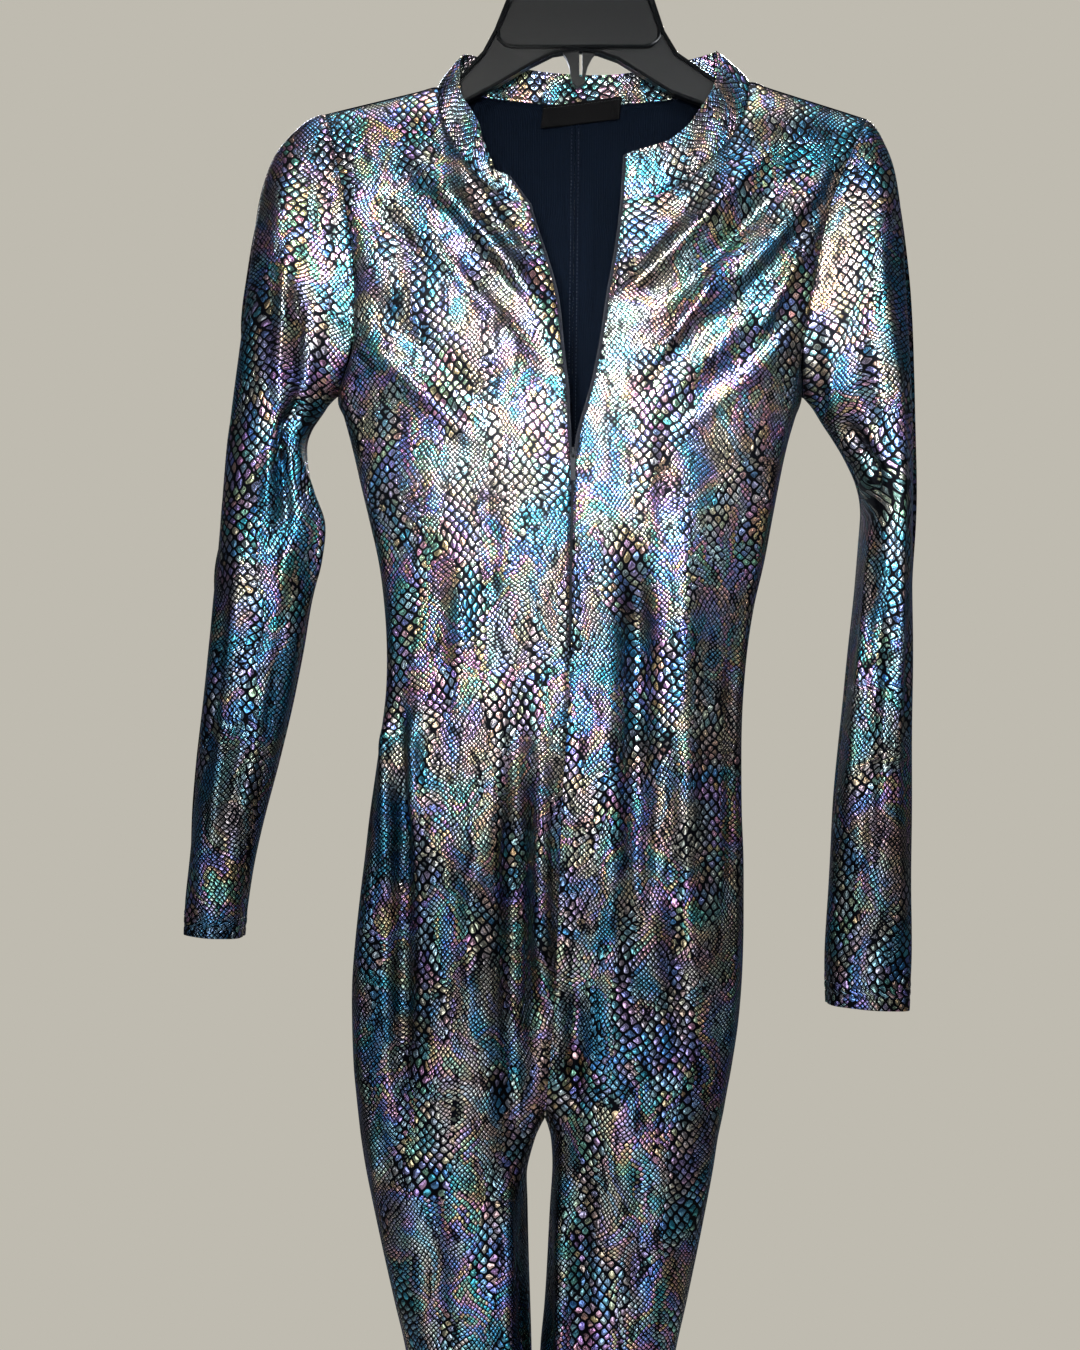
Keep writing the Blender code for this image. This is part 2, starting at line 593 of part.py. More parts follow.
def add_wall(name, rows, normals, outside, inside, kind):
    """A closed cloth wall: a grid, extruded, then moved to its outer and inner points."""
    last_row, last = len(rows) - 1, len(rows[0]) - 1
    bm = bmesh.new()
    bmesh.ops.create_grid(bm, x_segments=last, y_segments=last_row, size=0.5)
    places = {}
    for vert in bm.verts:
        places[vert] = (round((vert.co.y + 0.5) * last_row), round((vert.co.x + 0.5) * last))
    outer = list(bm.verts)
    copied = bmesh.ops.extrude_face_region(bm, geom=list(bm.faces), use_keep_orig=True)
    for vert in [g for g in copied["geom"] if isinstance(g, bmesh.types.BMVert)]:
        j, i = round((vert.co.y + 0.5) * last_row), round((vert.co.x + 0.5) * last)
        vert.co = (rows[j][i] - normals[j][i] * inside) * MM
    for vert in outer:
        j, i = places[vert]
        vert.co = (rows[j][i] - normals[j][i] * outside) * MM
    bmesh.ops.triangulate(bm, faces=bm.faces)
    return add_object(name, bm, kind)


def tape_rows(side, panel, panel_normals, collar, collar_normals):
    """Points of a zip tape along the collar's end, the opening and the closed zip."""
    edge = 0 if side == "r" else len(collar[0]) - 1
    beside = 1 if side == "r" else -2
    path = [(collar[j][edge], collar[j][beside], collar_normals[j][edge])
            for j in range(COLLAR_ROWS, -1, -1)]
    for row, normal_row in zip(panel[1:], panel_normals[1:]):
        if row[0].z < ZIP_END_Z:
            break
        path.append((row[0], row[1], normal_row[0]))
    rows, normals = [], []
    for start, towards, normal in path:
        inward = (towards - start).normalized()
        overhang = TAPE_OVERHANG
        if start.z < UNDERARM_Z - 1:
            centre = read_straight(BODY, BODY_COLUMNS, "in_" + side, start.z)
            room = abs(start.x - centre) - ARCH_WIDTH / 2 - ARCH_SIDE_GAP
            overhang = min(max(room, 0.0), TAPE_OVERHANG)
        rows.append([start + inward * s for s in (-overhang, TAPE_WIDTH * 0.5, TAPE_WIDTH)])
        normals.append([normal] * 3)
    return rows, normals


def add_slab(outline, half_depth, rib=0.0, web=0.0):
    """An outline of the front view given depth, its faces sunk to a web inside a rib."""
    bm = bmesh.new()
    verts = [bm.verts.new((x * MM, -half_depth * MM, z * MM)) for x, z in outline]
    face = bm.faces.new(verts)
    far = bmesh.ops.extrude_face_region(bm, geom=[face], use_keep_orig=True)
    moved = [g for g in far["geom"] if isinstance(g, bmesh.types.BMVert)]
    bmesh.ops.translate(bm, verts=moved, vec=(0, 2 * half_depth * MM, 0))
    bmesh.ops.recalc_face_normals(bm, faces=bm.faces)
    if rib:
        ends = [f for f in bm.faces if abs(f.normal.y) > 0.9]
        for end in ends:
            way = math.copysign((half_depth - web) * MM, -end.normal.y)
            bmesh.ops.inset_region(bm, faces=[end], thickness=rib * MM, use_even_offset=True)
            bmesh.ops.inset_region(bm, faces=[end], thickness=0.25 * MM,
                                   use_even_offset=True)
            bmesh.ops.translate(bm, verts=list(end.verts), vec=(0, way, 0))
    return bm


def join_to(target, bm, name):
    """Boolean union of another solid into the target object."""
    mesh = bpy.data.meshes.new(name)
    bmesh.ops.recalc_face_normals(bm, faces=bm.faces)
    bm.to_mesh(mesh)
    bm.free()
    tool = bpy.data.objects.new(name, mesh)
    bpy.context.collection.objects.link(tool)
    apply_boolean(target, tool, "UNION")


def apply_boolean(target, tool, operation):
    modifier = target.modifiers.new("join", "BOOLEAN")
    modifier.operation = operation
    modifier.object = tool
    bpy.context.view_layer.update()
    solved = target.evaluated_get(bpy.context.evaluated_depsgraph_get())
    mesh = bpy.data.meshes.new_from_object(solved)
    target.modifiers.remove(modifier)
    target.data = mesh
    bpy.data.objects.remove(tool)


def hook_points():
    """The hook's rod: up from the plate, round and over, its inside top at the origin."""
    centre_z = HOOK_ROD - HOOK_RADIUS
    points = [(HANGER_MIDDLE, -66), (HANGER_MIDDLE, -57), (5, -52), (9.5, -47), (15, -42)]
    for degrees in range(-30, 211, 15):
        angle = math.radians(degrees)
        points.append((HOOK_RADIUS * math.cos(angle), centre_z + HOOK_RADIUS * math.sin(angle)))
    return points


def add_rod(name, points, radius):
    """A round rod through points of the front view, as a mesh object."""
    curve = bpy.data.curves.new(name, "CURVE")
    curve.dimensions = "3D"
    curve.bevel_depth = radius * MM
    curve.bevel_resolution = 2
    curve.use_fill_caps = True
    spline = curve.splines.new("POLY")
    spline.points.add(len(points) - 1)
    for knot, (x, z) in zip(spline.points, points):
        knot.co = (x * MM, 0, z * MM, 1)
    rod = bpy.data.objects.new(name, curve)
    bpy.context.collection.objects.link(rod)
    bpy.context.view_layer.update()
    bm = bmesh.new()
    bm.from_mesh(rod.evaluated_get(bpy.context.evaluated_depsgraph_get()).to_mesh())
    bmesh.ops.remove_doubles(bm, verts=bm.verts, dist=0.00001)
    bpy.data.objects.remove(rod)
    return bm


def add_hanger():
    outline = ARM_TOP_R + ARM_END_R + ARM_LOW_R + [(2, -141.5)] + ARM_LOW_L + ARM_END_L + ARM_TOP_L
    hanger = add_object("hanger", add_slab(outline, RIB_HALF, RIB_WIDTH, WEB_HALF),
                        "hanger_plastic")
    join_to(hanger, add_slab(PLATE, RIB_HALF - 0.2, RIB_WIDTH, WEB_HALF + 0.3), "plate")
    join_to(hanger, add_slab(POST, RIB_HALF - 2.0), "post")
    join_to(hanger, add_rod("hook", hook_points(), HOOK_ROD), "hook")
    hanger.data.materials.clear()
    add_material(hanger, "hanger_plastic")
    hanger.data.shade_smooth()
    hanger.data.set_sharp_from_angle(angle=math.radians(35))


def add_box(centre, size):
    bm = bmesh.new()
    bmesh.ops.create_cube(bm, size=1.0)
    for vert in bm.verts:
        vert.co = Vector([(c + v * s) * MM for c, v, s in zip(centre, vert.co, size)])
    return bm


def add_zip_slider(axis, cloth_y):
    """The slider's body behind the tapes, and the arch in front that holds the pull."""
    reach = ARCH_CLEAR + ARCH_LEG
    body_y = cloth_y + COLLAR_WALL + TAPE_WALL + 3 * LAYER_GAP + SLIDER_SIZE[1] / 2
    body = add_object("zip_slider", add_box((axis.x, body_y, axis.z), SLIDER_SIZE),
                      "zip_metal")
    front = axis.y - reach
    depth = body_y - front
    for z in (axis.z + ARCH_CLEAR + ARCH_LEG / 2, axis.z - ARCH_CLEAR - ARCH_LEG / 2):
        leg = add_box((axis.x, front + depth / 2, z), (ARCH_WIDTH, depth, ARCH_LEG))
        join_to(body, leg, "arch_leg")
    bar = add_box((axis.x, front + ARCH_LEG / 2, axis.z), (ARCH_WIDTH, ARCH_LEG, 2 * reach))
    join_to(body, bar, "arch_front")
    body.data.materials.clear()
    add_material(body, "zip_metal")


def add_zip_pull(axis):
    """A narrow tab whose top bar lies in the slider's arch; its origin is on that bar."""
    width, length, wall = PULL_SIZE
    reach = ARCH_CLEAR + ARCH_LEG
    pull = add_object("zip_pull", add_box((0, 0, PULL_BAR / 2 - length / 2),
                                          (width, wall, length)), "zip_metal")
    slot_low = -reach * math.sqrt(2) - ARCH_SIDE_GAP
    slot_top = -PULL_BAR / 2
    slot = add_object("slot", add_box((0, 0, (slot_low + slot_top) / 2),
                                      (ARCH_WIDTH + 2 * ARCH_SIDE_GAP, wall * 3,
                                       slot_top - slot_low)),
                      "zip_metal")
    slot.data.materials.clear()
    apply_boolean(pull, slot, "DIFFERENCE")
    pull.data.materials.clear()
    add_material(pull, "zip_metal")
    pull.location = axis * MM


def add_label():
    """A woven label sewn over the back neck seam, inside the garment."""
    width, height, wall = LABEL_SIZE
    rows, normals = [], []
    turn = math.radians(LABEL_TURN)
    for j in range(3):
        row, normal_row = [], []
        for i in range(9):
            along, down = (i / 8 - 0.5) * width, -(j / 2 - 0.5) * height
            x = LABEL_MIDDLE[0] + along * math.cos(turn) - down * math.sin(turn)
            z = LABEL_MIDDLE[2] - along * math.sin(turn) + down * math.cos(turn)
            row.append(Vector((x, LABEL_MIDDLE[1] - LABEL_BEND * x * x, z)))
            normal_row.append(Vector((0, -1, 0)))
        rows.append(row)
        normals.append(normal_row)
    add_wall("label", rows, normals, 0.0, wall, "label")


def build():
    for obj in list(bpy.data.objects):
        bpy.data.objects.remove(obj, do_unlink=True)
    names = {"front_right": ("r", "front"), "front_left": ("l", "front"),
             "back_right": ("r", "back"), "back_left": ("l", "back")}
    grids = {}
    for name, (side, face) in names.items():
        grids[name] = (panel_grid(side, face), (side == "l") == (face == "back"))
    grids["sleeve_right"] = (sleeve_grid("r"), True)
    grids["sleeve_left"] = (sleeve_grid("l"), False)
    grids["collar"] = (collar_grid(), False)
    normals = seam_normals(grids)
    walls = {name: pulled_in(rows, name[:4] in ("fron", "back"))
             for name, (rows, flip) in grids.items()}
    for name, rows in walls.items():
        wall = COLLAR_WALL if name == "collar" else CLOTH_WALL
        add_wall(name, rows, normals[name], 0.0, wall, "cloth")
    for side, word in (("r", "right"), ("l", "left")):
        rows, tape_normals = tape_rows(side, walls["front_" + word], normals["front_" + word],
                                       walls["collar"], normals["collar"])
        add_wall("zip_tape_" + word, rows, tape_normals, TAPE_BEHIND, TAPE_BEHIND + TAPE_WALL,
                 "tape")
    add_label()
    centre = read_straight(BODY, BODY_COLUMNS, "in_r", AXIS_Z)
    cloth_y = body_point("r", "front", 0, AXIS_Z).y
    axis = Vector((centre, cloth_y - AXIS_AHEAD, AXIS_Z))
    add_zip_slider(axis, cloth_y)
    add_zip_pull(axis)
    add_hanger()


build()
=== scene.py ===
"""How a zip-front unitard in foil-printed stretch knit looks on its clothes hanger.

The garment's front faces -Y, +X is the wearer's left, and the origin is the inside top
of the hanger's hook. Garment sizes are in millimetres; MM turns them to metres.
"""
import math
from functools import partial

import bmesh
import bpy
import numpy as np
from mathutils import Matrix, Vector


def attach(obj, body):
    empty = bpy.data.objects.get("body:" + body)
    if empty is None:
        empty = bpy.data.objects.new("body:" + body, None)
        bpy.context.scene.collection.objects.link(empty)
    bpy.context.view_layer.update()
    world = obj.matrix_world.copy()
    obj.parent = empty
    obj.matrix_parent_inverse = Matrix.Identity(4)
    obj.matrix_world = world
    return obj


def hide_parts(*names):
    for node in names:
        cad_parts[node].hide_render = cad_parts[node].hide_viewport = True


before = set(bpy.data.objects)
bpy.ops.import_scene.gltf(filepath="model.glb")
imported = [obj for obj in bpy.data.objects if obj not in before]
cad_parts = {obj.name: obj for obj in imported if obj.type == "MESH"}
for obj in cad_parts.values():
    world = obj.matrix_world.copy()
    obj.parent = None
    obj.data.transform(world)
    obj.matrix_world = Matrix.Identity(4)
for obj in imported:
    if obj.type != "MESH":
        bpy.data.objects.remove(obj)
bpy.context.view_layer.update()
MM = 0.001

# Camera, light and floor. Softboxes stand high in front, so the chest shines and the
# legs fall off into shade; narrow ones graze both sides, and the room around is dim, as
# foil shows mostly what it reflects.
CAMERA_PLACE = (-0.0231, -1.4, -0.5775)     # m, level with the waist as the photo's
SENSOR_WIDTH, LENS = 36, 53.33              # mm
WALL_COLOUR = "#bfbbb0"                     # as the camera sees it behind the garment
ROOM_COLOUR, ROOM_STRENGTH = "#93a0b4", 0.27
FLOOR_Z, FLOOR_RADIUS = -1.72, 1.5
SOFTBOXES = (
    # name, place, aimed at, width, height, watts, spread in degrees, colour
    ("key", (-0.40, -1.25, 0.44), (-0.06, 0.0, -0.32), 0.34, 0.22, 0.8, 32, "#fffaf2"),
    ("chest", (-0.10, -1.15, -0.26), (0.03, 0.0, -0.36), 0.34, 0.30, 1.8, 27, "#fffdf8"),
    ("high_right", (0.50, -1.20, 0.25), (0.12, 0.0, -0.38), 0.14, 0.30, 0.75, 36, "#f6fbff"),
    ("left_edge", (-1.2, -0.8, -0.6), (-0.2, 0.0, -0.8), 0.08, 1.1, 2.2, 180, "#eef4ff"),
    ("right_edge", (1.25, -0.8, -0.4), (0.2, 0.0, -0.7), 0.08, 1.1, 2.0, 180, "#fff8f2"),
    ("low_fill", (-0.1, -2.4, -1.28), (0.0, 0.0, -0.85), 1.4, 0.9, 24, 180, "#e9f2ff"),
    ("behind_high", (0.4, 1.3, 0.50), (0.0, 0.0, -0.42), 0.45, 0.30, 20, 90, "#fffaf2"),
    ("behind_low", (-0.4, 1.5, 0.35), (0.0, 0.0, -0.75), 0.60, 0.60, 6, 90, "#eef4ff"),
    ("floor_wash", (0.0, 0.1, 2.4), (0.0, 0.101, -1.7), 2.2, 2.2, 14, 50, "#ffffff"),
)


def linear(colour):
    """An sRGB hex colour as linear red, green, blue and alpha."""
    values = [int(colour[i:i + 2], 16) / 255 for i in (1, 3, 5)]
    return tuple([v / 12.92 if v <= 0.04045 else ((v + 0.055) / 1.055) ** 2.4
                  for v in values] + [1.0])


def add_object(name, data):
    """A mesh, light or camera as an object in the scene."""
    obj = bpy.data.objects.new(name, data)
    bpy.context.scene.collection.objects.link(obj)
    return obj


camera = add_object("camera", bpy.data.cameras.new("camera"))
bpy.context.scene.camera = camera
camera.location = CAMERA_PLACE
camera.rotation_euler = (math.radians(90), 0, 0)
camera.data.sensor_width, camera.data.lens = SENSOR_WIDTH, LENS
bpy.context.scene.view_settings.view_transform = "Standard"

for name, place, target, width, height, watts, spread, colour in SOFTBOXES:
    lamp = bpy.data.lights.new(name, "AREA")
    lamp.shape = "RECTANGLE"
    lamp.size, lamp.size_y, lamp.energy = width, height, watts
    lamp.color, lamp.spread = linear(colour)[:3], math.radians(spread)
    softbox = add_object(name, lamp)
    softbox.location = place
    away = Vector(place) - Vector(target)
    softbox.rotation_euler = away.to_track_quat("Z", "Y").to_euler()


def add_node(tree, kind, inputs=(), out=None, **settings):
    """Adds a node and gives it, or the output that out names.

    inputs are (socket, value or output to link) pairs.
    """
    node = tree.nodes.new("ShaderNode" + kind)
    for key, value in settings.items():
        setattr(node, key, value)
    for socket, value in inputs:
        if isinstance(value, bpy.types.NodeSocket):
            tree.links.new(value, node.inputs[socket])
        else:
            node.inputs[socket].default_value = value
    return node if out is None else node.outputs[out]


world = bpy.data.worlds.new("room")
bpy.context.scene.world = world
world.use_nodes = True
world.node_tree.nodes.clear()
seen = add_node(world.node_tree, "Background",
                [("Color", linear(WALL_COLOUR)), ("Strength", 1.0)], 0)
dim = add_node(world.node_tree, "Background",
               [("Color", linear(ROOM_COLOUR)), ("Strength", ROOM_STRENGTH)], 0)
camera_sees = add_node(world.node_tree, "LightPath", out="Is Camera Ray")
room = add_node(world.node_tree, "MixShader", [(0, camera_sees), (1, dim), (2, seen)], 0)
add_node(world.node_tree, "OutputWorld", [("Surface", room)])


def take_mesh(bm, name):
    """A bmesh as a new mesh; the bmesh is freed."""
    mesh = bpy.data.meshes.new(name)
    bm.to_mesh(mesh)
    bm.free()
    return mesh


def start_material(name):
    """A new material and its empty node tree."""
    material = bpy.data.materials.new(name)
    material.use_nodes = True
    material.node_tree.nodes.clear()
    return material, material.node_tree


bm = bmesh.new()
bmesh.ops.create_circle(bm, cap_ends=True, segments=96, radius=FLOOR_RADIUS)
bmesh.ops.translate(bm, verts=bm.verts, vec=(0, 0, FLOOR_Z))
floor = add_object("floor", take_mesh(bm, "floor"))
# Matt floor paint with a faint grit
paint, tree = start_material("painted_floor")
grit = add_node(tree, "TexNoise", [("Scale", 40.0), ("Detail", 3.0)], "Fac")
tone = add_node(tree, "Mix", [(0, grit), (6, linear("#d2cfc8")), (7, linear("#dad8d2"))], 2,
                data_type="RGBA")
shader = add_node(tree, "BsdfPrincipled", [("Base Color", tone), ("Roughness", 0.8)], 0)
add_node(tree, "OutputMaterial", [("Surface", shader)])
floor.data.materials.append(paint)

# The fronts and backs: four panels of foil-printed stretch knit, each cut in one from
# shoulder to ankle. They hang slack from the hanger, so the cloth falls in drapes from
# the shoulders and in long soft pipes below. Heights are in mm below the hook.
UNDERARM_Z, OPENING_BOTTOM_Z, ZIP_END_Z = -383.0, -431.0, -564.0
CROTCH_Z, ANKLE_Z = -886.0, -1600.0
SECTION_POWER = 0.75        # 1 is an ellipse, less is flatter in front
SHOULDER_ROUND = 15.0       # mm, the cloth's rise between collar and armhole
NECK_COLUMNS = {"front": 8, "back": 5}
SHOULDER_COLUMNS = 5
UPPER_ROWS = 10
# Where that rise starts over the neck, how it falls to the armhole, and its power
ROUND_FROM, ROUND_FALL, ROUND_EDGE, ROUND_POWER = 0.45, 0.9, 0.2, 0.4
RELAX_ROUNDS = 4            # of smoothing above the underarm
NECK_POINT_RUN = 0.66       # where the shoulder seam meets the collar
# Trunk and legs: side edges, centre or inner edges, depths, and how far the legs part
BODY_NAMES = ("z", "side_r", "in_r", "in_l", "side_l", "front", "back", "split")
BODY = [
    (-383, -164.5, -0.4, -0.4, 160.3, 43, 19, 0.00),
    (-413, -156.1, -0.6, -0.6, 151.2, 43, 20, 0.00),
    (-455, -146.3, -1.0, -1.0, 142.1, 40, 20, 0.00),
    (-497, -136.5, -1.9, -1.9, 134.4, 35, 18, 0.00),
    (-539, -131.6, -2.3, -2.3, 125.3, 30, 16, 0.00),
    (-581, -130.9, -3.0, -3.0, 120.4, 27, 15, 0.00),
    (-623, -135.1, -5.2, -5.2, 118.3, 27, 17, 0.00),
    (-665, -141.4, -8.0, -8.0, 118.3, 29, 21, 0.00),
    (-707, -146.3, -9.4, -9.4, 119.7, 32, 25, 0.00),
    (-749, -151.2, -10.8, -10.8, 119.7, 35, 28, 0.05),
    (-791, -154.7, -12.2, -12.2, 118.3, 36, 30, 0.16),
    (-833, -154.7, -15.6, -15.6, 114.1, 37, 31, 0.38),
    (-865, -152.2, -18.2, -18.2, 108.4, 37, 31, 0.72),
    (-886, -150.0, -19.6, -19.6, 104.5, 37, 31, 1.00),
    (-898, -148.6, -26.0, -15.6, 101.8, 37, 31, 1.00),
    (-920, -145.2, -31.6, -14.2, 98.3, 36, 30, 1.00),
    (-959, -137.2, -30.8, -16.6, 91.0, 36, 30, 1.00),
    (-1001, -128.1, -29.4, -19.4, 82.6, 35, 30, 1.00),
    (-1050, -116.8, -28.4, -23.6, 71.6, 34, 30, 1.00),
    (-1120, -108.5, -28.0, -24.0, 60.6, 31, 29, 1.00),
    (-1220, -102.5, -28.4, -24.6, 51.6, 28, 27, 1.00),
    (-1340, -104.5, -28.8, -25.2, 51.0, 28, 29, 1.00),
    (-1470, -98.5, -29.2, -25.8, 44.0, 25, 26, 1.00),
    (-1600, -92.5, -29.6, -26.4, 37.0, 23, 23, 1.00),
]
# Heights of the rows, closer at the opening's end and the crotch
ROW_Z = [UNDERARM_Z, -398, -412, -422, -429.5, -432, -445]
ROW_Z += list(np.linspace(-470, -850, 14)) + [
    -868, -880, CROTCH_Z, -892, -902, -922, -948, -980, -1015, -1050,
    -1100, -1160, -1225, -1300, -1380, -1460, -1535, ANKLE_Z]
# The opening's edges from the collar down
OPENING_NAMES = ("z", "y", "x_r", "x_l")
OPENING = [
    (-250, -30, -31.3, 34.4), (-266, -31, -26.5, 32.6), (-287, -33, -19.7, 29.5),
    (-315, -36, -12.2, 24.6), (-356, -40, -8.1, 18.4), (-383, -43, -5.6, 12.8),
    (-410, -43, -4.4, 5.0), (-430, -43, -2.0, 0.5),
]
# The neckline and the collar's top, from the opening (run 0) to the centre back (1)
NECK_NAMES = ("run", "x", "y", "z", "top_x", "top_y", "top_z")
NECK = {
    "r": [
        (0.00, -31.3, -30, -254.2, -46.0, -30, -234.5),
        (0.10, -44.0, -30, -250.2, -57.4, -29, -228.5),
        (0.22, -57.4, -28, -241.4, -62.6, -26, -212.0),
        (0.36, -74.7, -24, -222.5, -66.8, -20, -193.0),
        (0.52, -89.5, -15, -194.0, -78.6, -12, -170.0),
        (0.61, -94.5, -9, -174.0, -79.4, -4, -150.0),
        (0.66, -95.1, -1, -165.8, -79.4, 4, -142.5),
        (0.70, -93.0, 7.5, -166.0, -76.0, 10, -140.0),
        (0.80, -66.0, 11, -169.5, -60.0, 14, -143.0),
        (0.90, -30.0, 14, -173.0, -30.2, 17, -150.0),
        (1.00, 2.0, 15, -174.9, 3.1, 18, -152.5)],
    "l": [
        (0.00, 34.4, -30, -250.4, 36.4, -30, -220.0),
        (0.12, 54.0, -30, -249.0, 51.0, -30, -215.0),
        (0.24, 75.2, -28, -238.6, 66.0, -28, -210.0),
        (0.32, 87.0, -26, -228.6, 79.6, -27, -198.5),
        (0.44, 102.3, -22, -213.0, 91.4, -18, -180.0),
        (0.55, 117.1, -15, -190.6, 100.8, -9, -160.0),
        (0.62, 122.6, -9, -171.5, 101.6, -2, -147.0),
        (0.66, 123.8, -1, -162.3, 101.6, 4, -139.0),
        (0.70, 121.0, 7.5, -163.5, 99.0, 10, -139.0),
        (0.80, 80.0, 10, -170.5, 73.0, 13, -146.0),
        (0.90, 38.4, 14, -173.8, 38.0, 17, -152.0),
        (1.00, 2.0, 15, -174.9, 3.1, 18, -152.5)],
}
# The armhole from the shoulder (run 0) to the underarm (1), with its depths
ARMHOLE_NAMES = ("run", "x", "z", "front", "back")
ARMHOLE = {
    "r": [
        (0.00, -173.6, -184.6, 0, 0), (0.04, -172.2, -190.4, 8.5, 7.0),
        (0.18, -164.8, -217.5, 19, 14), (0.36, -157.3, -254.1, 24, 17),
        (0.54, -152.3, -291.0, 26, 19), (0.72, -151.6, -324.7, 26, 19),
        (0.88, -154.5, -357.0, 19, 14), (1.00, -164.5, -383.0, 0, 0)],
    "l": [
        (0.00, 205.8, -188.0, 0, 0), (0.04, 202.8, -194.0, 8.5, 7.0),
        (0.15, 193.2, -213.7, 18, 13), (0.34, 177.1, -254.1, 24, 17),
        (0.52, 168.6, -291.0, 26, 19), (0.72, 162.0, -332.6, 25, 18),
        (0.90, 158.0, -366.4, 15, 12), (1.00, 160.3, -383.0, 0, 0)],
}
# Folds: a ridge (height above 0) or trough along a curve through three points of the
# front view: x0, z0, x1, z1, x2, z2, height, width
FOLDS = {
    "front": [
        (-122, -214, -70, -268, -9, -349, 4.5, 12), (-120, -293, -70, -334, -21, -392, 4.0, 12),
        (-148, -343, -104, -384, -50, -431, 2.5, 13),
        (-153, -243, -110, -290, -29, -375, -3.5, 11),
        (-151, -315, -110, -350, -50, -410, -3.0, 11), (150, -200, 75, -277, 25, -320, 4.5, 12),
        (190, -212, 155, -258, 31, -382, 4.5, 13), (175, -263, 140, -317, 45, -403, 4.0, 12),
        (172, -216, 113, -274, 28, -349, -3.5, 11), (178, -248, 127, -301, 38, -390, -3.5, 11),
        (165, -296, 127, -342, 52, -410, -3.0, 11),
        (-118, -636, -116, -760, -117, -889, -6.0, 10),
        (-105, -590, -108, -650, -110, -720, 3.0, 11),
        (-41, -640, -40, -780, -42, -915, -6.5, 12), (42, -470, 44, -600, 43, -745, -4.5, 11),
        (-22, -595, -22, -700, -20, -806, 4.0, 10), (72, -430, 76, -600, 74, -780, 4.0, 20),
        (2, -772, 1, -830, 0, -880, -4.0, 10), (-52, -910, -48, -980, -46, -1060, 3.0, 9),
        (-6, -905, -7, -980, -8, -1060, 3.0, 7), (-100, -905, -94, -980, -90, -1050, -3.0, 9),
        (45, -900, 44, -960, 42, -1020, -3.0, 9)],
    "back": [
        (-125, -215, -75, -290, -20, -380, 3.5, 13),
        (-148, -330, -100, -390, -30, -450, -3.0, 13), (160, -215, 95, -290, 20, -390, 3.5, 13),
        (165, -320, 110, -380, 30, -450, -3.0, 13), (-70, -520, -78, -660, -72, -800, -4.5, 13),
        (58, -540, 62, -660, 58, -790, -4.5, 13), (0, -500, -5, -600, -8, -700, 3.5, 14),
        (-95, -800, -90, -860, -60, -900, 3.5, 12), (60, -800, 55, -860, 20, -900, 3.5, 12)],
}
